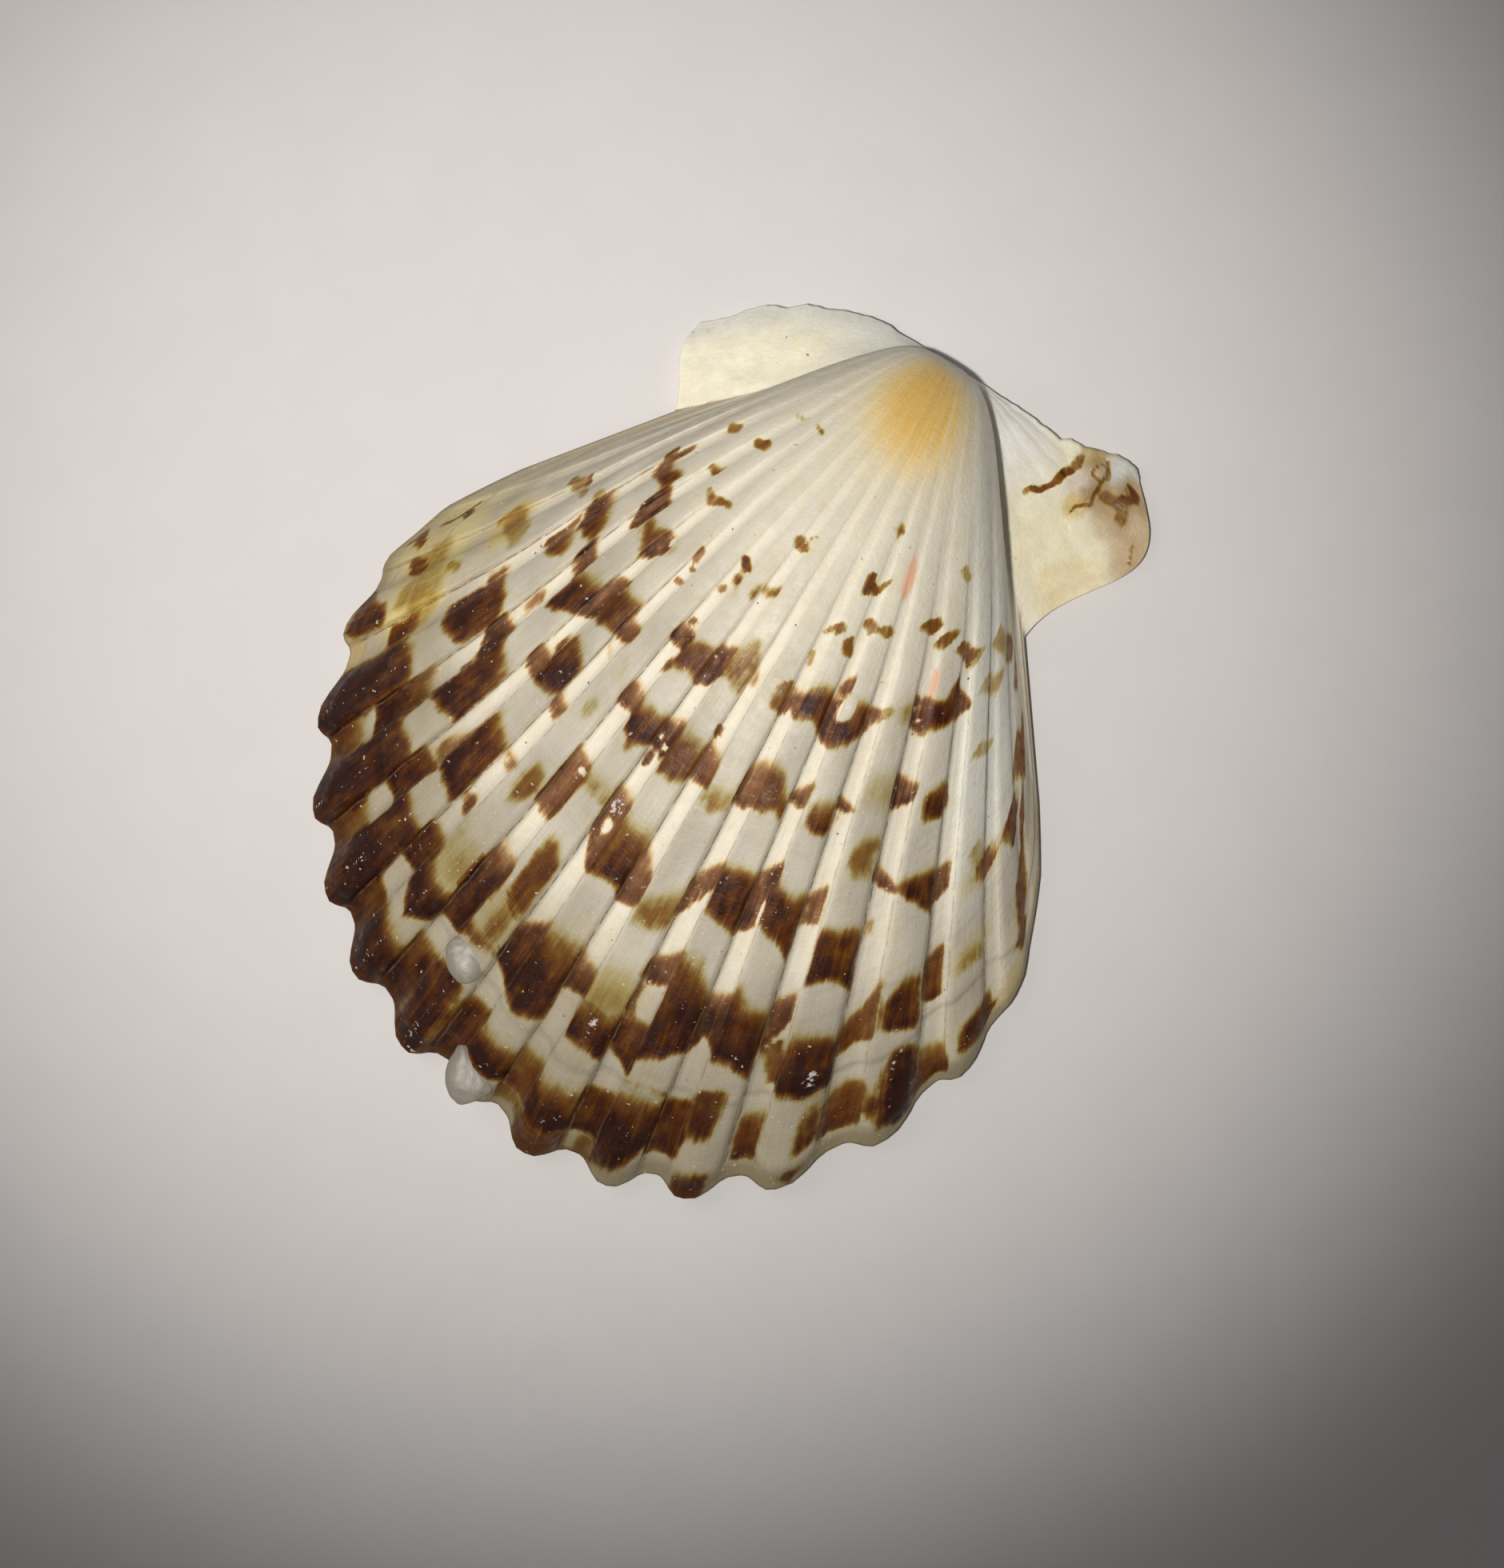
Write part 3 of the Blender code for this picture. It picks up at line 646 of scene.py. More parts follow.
# %% Rib tops, troughs and flanks
POLISHED, CHALK, GREENISH = linear(190, 181, 164), linear(238, 229, 209), linear(212, 207, 184)
FOOT_SHADE_COLOUR, BLEACHED = linear(140, 128, 104), linear(252, 249, 236)
off = off_rib(rib)
top = smooth_step(-0.38, -0.24, off) * (1 - smooth_step(0.27, 0.34, off)) * on_disc
cloudy = 0.85 + 0.35 * waves(rib * 0.9, size * 7, 43)
# painted shade: a thin dark line along the steep right foot of every rib, where its shadow falls
foot_shade_mask = bump(off, RIB_FOOT, 0.02) * smooth_step(0.35, 0.6, size) * near_flank(rib) * on_disc
ground = lay_tints(
    np.ones(rib.shape + (3,)) * CHALK,
    (POLISHED, top * cloudy * (0.3 + 0.7 * smooth_step(0.3, 0.6, size))),
    (GREENISH, on_disc * (1 - smooth_step(0.3, 0.5, size)) * (0.15 + 0.2 * top) * cloudy),
    (POLISHED, on_disc * (1 - near_flank(rib)) * (rib < MIDDLE_RIB) * 0.6),
    (BLEACHED, on_disc * smooth_step(12.6, 14.4, rib) * (1 - smooth_step(0.6, 0.9, size)) * 0.9),
    (FOOT_SHADE_COLOUR, foot_shade_mask * (0.45 + 0.3 * waves(rib * 0.7, size * 9, 44))),
)
print("share of the disc that is rib top:", round(float((top > 0.5)[on_disc].mean()), 2))

# %% The worn umbo, and the milky edge with painted shade
YELLOW, STRAW, SHADED_GREY = linear(234, 190, 104), linear(244, 220, 162), linear(206, 205, 200)
HORN, MILKY_AND_SHADED, OLIVE_RIM = linear(200, 186, 138), linear(172, 160, 138), linear(138, 124, 94)
umbo = bump(rib, 8.5, 4.4) * bump(size, 0.165, 0.09)
streaky = umbo * (1 + 0.25 * waves(rib * 2.2, size * 3, 41))
milky = smooth_step(0.74, 0.86, size + 0.02 * cloudy) * (1 - 0.6 * smooth_step(11, 14, rib))
ground = lay_tints(
    ground,
    (STRAW, smooth_step(0.02, 0.75, streaky)),
    (YELLOW, smooth_step(0.22, 1.0, streaky) * 0.95),
    # grey at the steep back of the umbo: thin, translucent shell, and painted shade where it turns away from
    # the light
    (SHADED_GREY, on_disc * (1 - smooth_step(0.04, 0.12, size))),
    (HORN, on_disc * smooth_step(0.6, 0.85, size) * (1 - smooth_step(1.4, 2.6, rib)) * 0.35),
    (HORN, on_disc * smooth_step(0.88, 0.97, size) * 0.3),
    # the milky grey of the thin edge, darkened further with painted shade where the light falls off towards
    # the edge
    (MILKY_AND_SHADED, on_disc * milky * (0.6 + 0.3 * cloudy)),
    (OLIVE_RIM, on_disc * smooth_step(0.965, 0.992, size) * 0.85),
)
print("share of the disc that is worn yellow:", round(float((streaky > 0.5)[on_disc].mean()), 3))

# %% Soft stains on the disc
PINK = linear(240, 190, 160)
# mustard stains: rib, growth, half-widths of both, strength, screen colour
FLANK_STAINS = ((1.5, 76, 0.45, 3.2, 0.8, (196, 174, 108)), (1.86, 84.1, 0.14, 1, 0.7, (176, 168, 84)),
                (1.5, 88.5, 1.1, 6, 0.75, (202, 186, 134)), (2.3, 88.5, 0.16, 5, 0.8, (222, 202, 138)),
                (1.3, 92, 0.5, 2.5, 0.5, (170, 146, 104)), (0.8, 95, 0.7, 4, 0.6, (184, 168, 120)),
                (2.5, 98.5, 0.4, 1.6, 0.7, (190, 168, 116)), (14.3, 75, 0.5, 2.2, 0.6, (208, 188, 136)),
                (14.1, 84.5, 0.4, 2, 0.6, (204, 186, 140)), (14.9, 97.3, 0.4, 1.6, 0.7, (190, 170, 124)),
                (15.4, 90, 0.5, 6, 0.5, (196, 180, 160)), (6.2, 84.5, 0.5, 2, 0.45, (178, 164, 122)),
                (9, 80.5, 0.35, 2.2, 0.5, (186, 172, 120)), (7, 82, 0.4, 2, 0.5, (176, 160, 120)))
for at, level, wide, tall, strong, colour in FLANK_STAINS:
    spot = smooth_step(0.05, 0.6, oval(rib + 0.1 * cloudy, at + 0.085, level, wide, tall))
    ground = tint(ground, linear(*colour), on_disc * spot * strong)
pink_a = bump(rib, 11.35, 0.2) * bump(size, 0.347, 0.025)
pink_b = bump(rib, 12.65, 0.11) * bump(size, 0.463, 0.02)
ground = tint(ground, PINK, smooth_step(0.3, 0.6, pink_a + 0.8 * pink_b))
print("stains on the disc:", len(FLANK_STAINS))

# %% [markdown]
# # Colours of the ears
# The left ear is cream; its worn hinge edge and the part near the beak are greyed with painted shade, where
# the ear slopes away. The right one is white near the beak, cream further out, and its blistered corner is
# stained tan, with brown seams. The stains are round spots and the browns are lines, both placed in
# millimetres from the beak, so they sit on the blisters and seams that the relief has made.

# %% Ground and stains of the ears
EAR_CREAM, EAR_WHITE = linear(236, 230, 206), linear(242, 238, 230)
# soft stains, in mm from the beak: where, how wide, how strong, screen colour
STAINS = ((9.5, -0.35, 0.45, 0.9, (186, 166, 122)), (10.2, -0.3, 0.5, 0.9, (184, 162, 114)),
          (10.4, -0.85, 0.55, 1, (166, 136, 88)), (10.1, -2.1, 0.65, 0.8, (216, 200, 188)),
          (10.55, -2.3, 0.32, 0.9, (166, 134, 114)), (10.06, -3.25, 0.4, 0.9, (206, 178, 104)),
          (11.5, -1.6, 0.75, 1, (172, 144, 96)), (11.37, 0, 0.6, 0.9, (198, 198, 192)),
          (13.1, -1.7, 0.65, 0.9, (170, 142, 100)), (13.8, -2.55, 0.5, 0.9, (192, 166, 112)),
          (13.3, -3, 0.7, 0.8, (204, 188, 160)), (14.1, -3.9, 0.7, 0.9, (198, 170, 132)),
          (14.3, -4.8, 0.5, 0.7, (184, 156, 118)), (12.4, -0.9, 0.55, 0.8, (172, 146, 108)),
          (12.2, -2.8, 0.7, 0.8, (178, 150, 114)), (12.46, -7.3, 1.1, 0.7, (222, 196, 148)),
          (10.8, -6.3, 1.8, 0.5, (240, 228, 190)))
ground = lay_tints(
    ground,
    (EAR_CREAM, ear_left * 0.9 + ear_right),
    (EAR_WHITE, ear_right * (1 - smooth_step(0.4, 0.62, size))),
    # painted shade: grey along the left ear's hinge edge and near the beak, where it slopes away from the
    # light
    (SHADED_GREY, ear_left * smooth_step(0.55, 0.95, share) * 0.75),
    (SHADED_GREY, ear_left * (1 - smooth_step(0.3, 0.6, size)) * 0.7),
)
for x, y, width, strong, colour in STAINS:
    spot = smooth_step(0.05, 0.55, bump(np.hypot(ear_x + wobble - x, ear_y - wobble - y), 0, 1.6 * width))
    ground = tint(ground, linear(*colour), ear_right * spot * strong)
print("ear stains:", len(STAINS))

# %% Brown seams of the right ear
# half-width, depth, and the points of each stroke
EAR_STROKES = ((0.2, 0.26, ((7.37, -3.9), (7.68, -3.65))), (0.08, 0.3, ((10.77, -0.56), (10.72, -1.39))),
               (0.17, 0.66, ((7.65, -3.7), (8.06, -3.16), (8.43, -2.85), (8.46, -2.15), (8.87, -1.52))),
               (0.22, 0.4, ((8.87, -1.52), (9.06, -1.14), (8.94, -0.6))),
               (0.07, 0.3, ((10.4, -0.05), (10.77, -0.56))),
               (0.08, 0.3, ((10.72, -1.39), (10.71, -2.02), (10.67, -2.5), (10.27, -3.05), (9.97, -3.5))),
               (0.34, 0.26, ((11.2, -1.85), (11.95, -1.8), (12.46, -1.9), (12.65, -2.5))),
               (0.26, 0.46, ((12.05, -1.75), (12.5, -1.35), (12.72, -1.2), (12.62, -0.9))),
               (0.1, 0.5, ((12, -0.72), (12.6, -0.85))), (0.1, 0.26, ((14, -3.5), (14.3, -4.3))))
RING_CENTRE, RING_RADIUS = (10.4, -0.85), 0.42
SPECK = (-6.86, -3.8)
for half_width, deep, line in EAR_STROKES:
    away = from_line(ear_x + wobble, ear_y - wobble, line)
    cover = (1 - smooth_step(half_width * 0.4, half_width * 1.3 + 0.12, away)) * (rib > LAST)
    pigment, depth = lay_over(pigment, depth, cover, np.full_like(size, deep))
ring = np.abs(np.hypot(ear_x - RING_CENTRE[0] + wobble, ear_y - RING_CENTRE[1]) - RING_RADIUS)
ring_cover = (1 - smooth_step(0.03, 0.2, ring)) * (rib > LAST)
speck = np.hypot(ear_x - SPECK[0], (ear_y - SPECK[1]) * 1.6)
speck_cover = (1 - smooth_step(0.05, 0.2, speck)) * (rib < FIRST)
for cover in (ring_cover, speck_cover):
    pigment, depth = lay_over(pigment, depth, cover, np.full_like(size, 0.3))
print("ear strokes:", len(EAR_STROKES))

# %% [markdown]
# # One closed mesh
# The valve is a single piece of shell, so its skin is a single closed mesh. Two sheets and a Bridge tool
# would do it by hand. With numpy the faces are only numbers: each face of the outer grid joins four
# neighbours, and its whole first row is one point, the beak. The inner grid is turned the other way round, so
# that all faces point outwards, and a strip of fans closes the rim.

# %% Faces of grids and rims


def grid_faces(rows, lines, offset, flip):
    """Triangles of a grid whose row 0 is a single vertex, numbered row by row after it."""
    index = np.zeros((rows, lines), dtype=int)
    index[1:] = 1 + np.arange((rows - 1) * lines).reshape(rows - 1, lines)
    index += offset
    a, b, c, d = index[:-1, :-1], index[:-1, 1:], index[1:, 1:], index[1:, :-1]
    lower = np.stack([a, d, c], axis=2).reshape(-1, 3)
    upper = np.stack([a, c, b], axis=2)[1:].reshape(-1, 3)
    faces = np.concatenate([lower, upper])
    return index, faces[:, ::-1] if flip else faces


def rim_faces(fine, coarse, every):
    """Fans between a fine line of vertices and a coarse one with a vertex at every nth place."""
    step = np.arange(len(fine) - 1)
    near = coarse[(step + every // 2) // every]
    fans = np.stack([fine[:-1], near, fine[1:]], axis=1)
    middle = fine[np.arange(len(coarse) - 1) * every + every - every // 2]
    links = np.stack([coarse[:-1], coarse[1:], middle], axis=1)
    return np.concatenate([fans, links])


outer_index, outer_faces = grid_faces(*rib.shape, 0, False)
inner_index, inner_faces = grid_faces(*inner.shape[:2], outer_index.max() + 1, True)
print("faces of the outer and inner grids:", len(outer_faces), len(inner_faces))

# %% The closed valve
around = [
    (outer_index[:, 0], inner_index[:, 0], INNER_EVERY_ROW, False),
    (outer_index[-1], inner_index[-1], INNER_EVERY_LINE, False),
    (outer_index[:, -1], inner_index[:, -1], INNER_EVERY_ROW, True),
]
rims = [rim_faces(fine, coarse, every)[:, :: -1 if back else 1] for fine, coarse, every, back in around]


def on_points(outer_values, inner_values):
    """Values of the outer and inner grids in the order of the mesh's points: each grid's first row is one."""
    both = []
    for values in (outer_values, inner_values):
        both += [values[:1, 0], values[1:].reshape(-1, *values.shape[2:])]
    return np.concatenate(both)


def make_mesh(name, points, faces):
    """A mesh object at the origin from arrays of points and triangles, shaded smooth."""
    mesh = bpy.data.meshes.new(name)
    mesh.from_pydata(points.tolist(), [], faces.tolist())
    mesh.shade_smooth()
    piece = bpy.data.objects.new(name, mesh)
    bpy.context.scene.collection.objects.link(piece)
    return piece


points = on_points(outer, inner)
faces = np.concatenate([outer_faces, inner_faces, *rims])
valve = make_mesh("valve_skin", points, faces)
print("triangles:", len(faces))

# %% [markdown]
# # What the material will read
# A material can't know about ribs. It could be given a UV map, but a value stored on each point says more:
# the place on the shell, how brown it is and how deep, how polished, where chips and painted glints shine and
# where the painted shade at a rib's foot may show. Each outer value has an inner one too, mostly nothing,
# because the inside is plain.

# %% Values on the points


def add_attribute(piece, name, kind, field, values):
    """Stores one value for each point, for the materials to read."""
    layer = piece.data.attributes.new(name, kind, "POINT")
    layer.data.foreach_set(field, np.ascontiguousarray(values, dtype=np.float32).ravel())


def inner_part(values):
    """The values at the places where the inner grid has its points."""
    return values[::INNER_EVERY_ROW, ::INNER_EVERY_LINE]


def store(name, outer_values, inner_values=0.0):
    """A number for each point of the valve: a field outside, and a field or one number inside."""
    inside = np.zeros_like(inner_part(outer_values)) + inner_values
    add_attribute(valve, name, "FLOAT", "value", on_points(outer_values, inside))


INSIDE_PLACE = 5
place = np.stack([rib, size * 10, np.zeros_like(rib)], axis=2)
under = np.stack([rib, size * 10, np.full_like(rib, INSIDE_PLACE)], axis=2)
add_attribute(valve, "place", "FLOAT_VECTOR", "vector", on_points(place, inner_part(under)))
polish = np.maximum(np.maximum(top, 1 - near_flank(rib)), smooth_step(0.76, 0.86, size))
polish = np.maximum(polish, 0.9 - 0.9 * smooth_step(0.4, 0.46, size))
store("pigment", pigment)
store("depth", depth, inner_part(depth))
store("polish", np.where(on_disc, polish, 1), 1)
print("values on", len(points), "points")

# %% [markdown]
# # Colour of the inside
# Inside, a scallop is smooth and porcelain white. One muscle held the valves together and left a dull round
# scar. Near the edge the wall is thin, and the brown of the outer face shines through. Nothing else is needed
# there.

# %% Colour of the inside
INSIDE, SCAR, SHINE_THROUGH = linear(240, 232, 216), linear(214, 204, 188), linear(196, 170, 140)
inner_rib, inner_size = inner_part(rib), inner_part(size)
scar = smooth_step(0.3, 0.45, bump(inner_rib, 9.6, 2.4) * bump(inner_size, 0.56, 0.12))
through = inner_part(pigment * depth) * smooth_step(0.55, 0.95, inner_size)
inside_ground = lay_tints(
    np.ones_like(inner_part(ground)) * INSIDE,
    (SCAR, scar * 0.7),
    (SHINE_THROUGH, through * 0.8),
    (STRAW, bump(inner_rib, 8.5, 4.4) * bump(inner_size, 0.2, 0.12) * 0.5),
)
solid = np.ones(rib.shape + (1,))
colours = on_points(np.dstack([ground, solid]), np.dstack([inside_ground, inner_part(solid)]))
add_attribute(valve, "ground", "FLOAT_COLOR", "color", colours)
print("share of the inside that is scar:", round(float((scar > 0.5).mean()), 3))

# %% [markdown]
# Where chips and painted glints shine, and painted shade lines the ribs' feet
# The surf has chipped the dark crests, and the chips show white; the same white specks are also painted
# glints of light. They come in groups, so each group is an oval, and a thin line of painted highlight follows
# every crest near the edge. The material later breaks these soft fields into single chips. A last field says
# where the thin line of painted shade along a rib's foot may show.

# %% Chips, painted glints and the shaded feet of the ribs
# groups of chips: rib, growth, half-widths of both, how dense
CHIPS = ((12.1, 87.7, 0.1, 1.8, 1.2), (12, 84, 0.04, 1.6, 0.8), (12.97, 83.7, 0.04, 1, 1.2),
         (9, 84.4, 0.07, 0.9, 1.2), (9, 86, 0.05, 1.2, 0.9), (10.05, 82, 0.09, 2.4, 0.9),
         (10.02, 79, 0.05, 1.5, 0.8), (11.03, 82, 0.05, 2.4, 0.9), (8, 84, 0.12, 2.4, 0.75),
         (10.05, 92.5, 0.07, 2, 0.9), (9, 95.9, 0.1, 0.6, 0.9), (10, 98.7, 0.06, 0.8, 0.9),
         (13, 90.8, 0.04, 1.8, 1), (12, 92.5, 0.07, 1.6, 1), (11.07, 92.5, 0.07, 3, 0.8),
         (11.05, 98, 0.1, 0.6, 0.9), (7, 97.5, 0.16, 1.8, 0.9), (7.03, 93, 0.05, 2.5, 0.8),
         (5, 87.3, 0.05, 1.3, 1), (4.94, 95.5, 0.08, 1, 1), (4.95, 99, 0.07, 1, 0.9),
         (3.95, 98.2, 0.1, 1.4, 0.9), (3, 98.5, 0.16, 1, 0.8), (2.95, 90.1, 0.08, 0.9, 0.9),
         (5.98, 97.5, 0.12, 2, 0.9), (6, 91.5, 0.05, 2.5, 0.6), (4.63, 87, 0.05, 1, 0.8),
         (8, 95.8, 0.08, 0.8, 0.8), (7.12, 50.2, 0.05, 1.2, 0.9), (7.4, 66, 0.12, 1.5, 0.6),
         (11.1, 69.2, 0.04, 0.8, 1), (2.95, 49.4, 0.08, 0.6, 0.8), (6.6, 60.2, 0.5, 2, 0.75),
         (7.6, 65.5, 0.35, 2.6, 0.75), (8.4, 60.5, 0.25, 1.6, 0.75), (3.9, 47.5, 0.3, 2, 0.7),
         (4.5, 58.5, 0.3, 2.2, 0.7), (10.6, 50, 0.6, 1.5, 0.65), (9.4, 66.5, 0.3, 2, 0.65),
         (5.5, 87, 0.3, 2.5, 0.7), (3.95, 58.3, 0.1, 0.8, 0.6), (3.5, 59.5, 0.15, 1, 0.6),
         (8, 68.6, 0.2, 0.6, 0.6), (13.1, 50, 0.15, 0.9, 0.6))
flakes = sum(dense * oval(rib, *spot) for *spot, dense in CHIPS)
# painted highlight: a thin line of glints along every crest near the edge, where it is brown
painted_crest_glint = 0.75 * bump(off, 0.02, 0.10) * smooth_step(0.76, 0.88, size) * near_flank(rib) * pigment
# where the line of painted shade along a rib's foot may show
cracked = near_flank(rib) * on_disc * smooth_step(0.40, 0.52, size)
cracked = cracked * (1 - smooth_step(0.97, 0.99, size)) * 0.85
store("flakes", np.maximum(flakes, painted_crest_glint))
store("crack", cracked)
print("groups of chips:", len(CHIPS))

# %% [markdown]
# # Shell material
# Shell is layered lime: a little light enters it, it shines dully where it is polished and is dry where it is
# chalky. One image would hold all that, but it would blur close up and belong to one shell only. The material
# reads the attributes made above instead, and adds with noise what is too fine for the mesh: streaks that run
# along the ribs, hair-fine growth lines, ragged edges to the brown, and pale chips with painted glints on the
# dark crests.

# %% Node helpers for numbers


class Graph:
    """A material's node tree, with short ways to add nodes and to work out numbers."""

    def __init__(self, name):
        self.material = bpy.data.materials.new(name)
        self.material.use_nodes = True
        self.tree = self.material.node_tree
        self.surface = self.tree.nodes["Principled BSDF"]

    def plug(self, socket, value):
        """Links a socket, or sets it to a plain value."""
        if isinstance(value, bpy.types.NodeSocket):
            self.tree.links.new(value, socket)
        else:
            socket.default_value = value

    def shade(self, **inputs):
        """Links or sets the surface's own inputs; a name's underscores stand for spaces."""
        for name, value in inputs.items():
            self.plug(self.surface.inputs[name.replace("_", " ")], value)

    def add(self, kind, inputs=(), **settings):
        """Adds a node with its settings and its inputs by name or number."""
        node = self.tree.nodes.new(kind)
        for name, value in settings.items():
            setattr(node, name, value)
        for name, value in dict(inputs).items():
            self.plug(node.inputs[name], value)
        return node

    def attribute(self, name, output="Fac"):
        """One output of an attribute stored on the mesh."""
        return self.add("ShaderNodeAttribute", attribute_name=name).outputs[output]

    def object_place(self):
        """Coordinates in metres that stay with the piece."""
        return self.add("ShaderNodeTexCoord").outputs["Object"]

    def math(self, operation, *values, clamp=False):
        """One arithmetic node."""
        node = self.add("ShaderNodeMath", dict(enumerate(values)), operation=operation, use_clamp=clamp)
        return node.outputs[0]

    def times_plus(self, value, factor, extra, clamp=False):
        """value * factor + extra."""
        return self.math("MULTIPLY_ADD", value, factor, extra, clamp=clamp)

    def vary(self, total, noise, amount):
        """total + amount * (noise - 0.5): noise moves a value up and down alike."""
        return self.times_plus(self.math("SUBTRACT", noise, 0.5), amount, total)

    def ramp(self, value, start, end):
        """0 below start, 1 above end, smooth between."""
        inputs = {"Value": value, "From Min": start, "From Max": end}
        return self.add("ShaderNodeMapRange", inputs, interpolation_type="SMOOTHSTEP").outputs[0]


print("helpers for numbers:", [name for name in vars(Graph) if not name.startswith("_")])

# %% Node helpers for patterns and colour


def opaque(colour):
    """A linear colour with full alpha, as colour sockets want it."""
    return (*colour, 1.0)


class Finish(Graph):
    """A graph that also lays noise, mixes colours and makes bumps."""

    def noise(self, vector, scale, stretch=(1, 1, 1), detail=3.0, roughness=0.55):
        """Soft noise on a vector that is first stretched."""
        moved = self.add("ShaderNodeVectorMath", {0: vector, 1: stretch}, operation="MULTIPLY").outputs[0]
        inputs = {"Vector": moved, "Scale": scale, "Detail": detail, "Roughness": roughness}
        return self.add("ShaderNodeTexNoise", inputs).outputs["Fac"]

    def mix(self, factor, first, second, blend="MIX"):
        """One colour over another."""
        node = self.add("ShaderNodeMix", data_type="RGBA", blend_type=blend)
        for socket, value in zip((node.inputs[0], node.inputs[6], node.inputs[7]), (factor, first, second)):
            self.plug(socket, value)
        return node.outputs[2]

    def dab(self, under, mask, strength, screen_colour):
        """A plain colour over another where a mask says so, at a given strength."""
        return self.mix(self.math("MULTIPLY", mask, strength), under, opaque(linear(*screen_colour)))

    def colour_ramp(self, value, stops):
        """A colour ramp through (place, linear colour) stops."""
        node = self.add("ShaderNodeValToRGB", {"Fac": value})
        elements = node.color_ramp.elements
        while len(elements) < len(stops):
            elements.new(1.0)
        for element, (place, colour) in zip(elements, stops):
            element.position = place
            element.color = opaque(colour)
        return node.outputs["Color"]

    def bumps(self, height, strength, distance):
        """A bump node's normal, from a height field."""
        inputs = {"Height": height, "Strength": strength, "Distance": distance}
        return self.add("ShaderNodeBump", inputs).outputs[0]


print("helpers for patterns and colour:", [name for name in vars(Finish) if not name.startswith("_")])

# %% What the shell's nodes start from
shell = Finish("shell_lime")
here = shell.attribute("place", "Vector")
brown = shell.attribute("pigment")
polished = shell.attribute("polish")
depth_now = shell.attribute("depth")
on_object = shell.object_place()
streaks = shell.noise(here, 8, (1, 0.2, 1), 4)
fine_streaks = shell.noise(here, 26, (1, 0.10, 1), 3)
striae = shell.noise(here, 38, (0.05, 1, 1), 2)
patches = shell.noise(here, 3.0, (1, 0.8, 1), 4)
grain = shell.noise(on_object, 5200, detail=2)
blotches = shell.noise(on_object, 1500, detail=3)
print("nodes so far:", len(shell.tree.nodes))

# %% [markdown]
# # How much brown
# The brown is a stain in the lime, and its edge is frayed into fine tongues that run with the ribs. The soft
# cover on the mesh is too smooth for that, and a denser mesh would be a waste. So noise stretched along the
# ribs is added to the cover before it is sharpened, and the depth of colour varies in the same streaks.

# %% Ragged cover and uneven depth
uneven = shell.times_plus(streaks, 0.9, -0.45)
uneven = shell.vary(uneven, fine_streaks, 0.6)
uneven = shell.vary(uneven, blotches, 0.8)
uneven = shell.math("MULTIPLY", uneven, shell.times_plus(shell.ramp(depth_now, 0.1, 0.5), 0.75, 0.25))
ragged = shell.times_plus(uneven, shell.times_plus(polished, -0.5, 0.95), brown)
cover = shell.math("MULTIPLY", shell.ramp(ragged, 0.08, 1.0), shell.ramp(brown, 0.0, 0.3))
variety = shell.times_plus(streaks, 0.8, -0.4)
variety = shell.vary(variety, fine_streaks, 0.5)
variety = shell.vary(variety, patches, 1.7)
variety = shell.vary(variety, blotches, 0.5)
deep = shell.math("MAXIMUM", shell.times_plus(variety, depth_now, depth_now), 0.04)
density = shell.math("MULTIPLY", deep, shell.math("POWER", cover, 1.7), clamp=True)
print("nodes so far:", len(shell.tree.nodes))

# %% [markdown]
# # The brown as a glaze
# Brown paint over white would look flat. A stain in the lime works like a glaze: it dims the ground, first to
# straw, then mustard, amber and chocolate as it gets denser, and in the troughs it is dry and pinkish. So two
# colour ramps give what the stain does to white, and the ground is multiplied by it.

# %% The glaze


def glaze(*stops):
    """Stops of a colour ramp that starts at plain white: colours as seen on a pale ground, divided by it."""
    pale = linear(232, 228, 214)
    return [(0.0, np.ones(3))] + [(place, np.minimum(linear(*colour) / pale, 1)) for place, colour in stops]


GLASSY = glaze((0.08, (212, 202, 158)), (0.18, (184, 160, 96)), (0.32, (154, 114, 54)),
               (0.5, (132, 84, 28)), (0.76, (100, 54, 15)), (1, (64, 29, 10)))
DRY = glaze((0.08, (220, 202, 162)), (0.18, (192, 160, 110)), (0.32, (160, 122, 88)), (0.5, (136, 96, 64)),
            (0.76, (108, 72, 48)), (1, (74, 46, 34)))
stain = shell.mix(polished, shell.colour_ramp(density, DRY), shell.colour_ramp(density, GLASSY))
print("stops of the glassy brown:", [place for place, colour in GLASSY])

# %% The ground under the glaze
# faint veins, clouds and haze, so that no part is one flat tint
vein = shell.math("MULTIPLY", shell.ramp(fine_streaks, 0.35, 0.75), 0.6)
shades = (
    (vein, (0.90, 0.88, 0.83)),
    (shell.ramp(patches, 0.42, 0.70), (0.99, 0.965, 0.90)),
    (shell.ramp(blotches, 0.42, 0.66), (0.955, 0.955, 0.95)),
)
ground_now = shell.attribute("ground", "Color")
for mask, dimmed in shades:
    ground_now = shell.mix(mask, ground_now, opaque(dimmed), "MULTIPLY")
coloured = shell.mix(1.0, ground_now, stain, "MULTIPLY")
print("shades on the ground:", len(shades))

# %% [markdown]
# # The line at a rib's foot
# A hair-fine line runs along the steep foot of each rib: painted shade in the narrow cleft on the pale
# ground, and on the brown a pale lip, partly wear and partly painted highlight.
# The mesh's own lines are too far apart to paint it. The shader can work it out: the fraction of the rib
# number is how far a point lies from the crest, and the line is where that is about a third. Noise lets it
# wander and break.

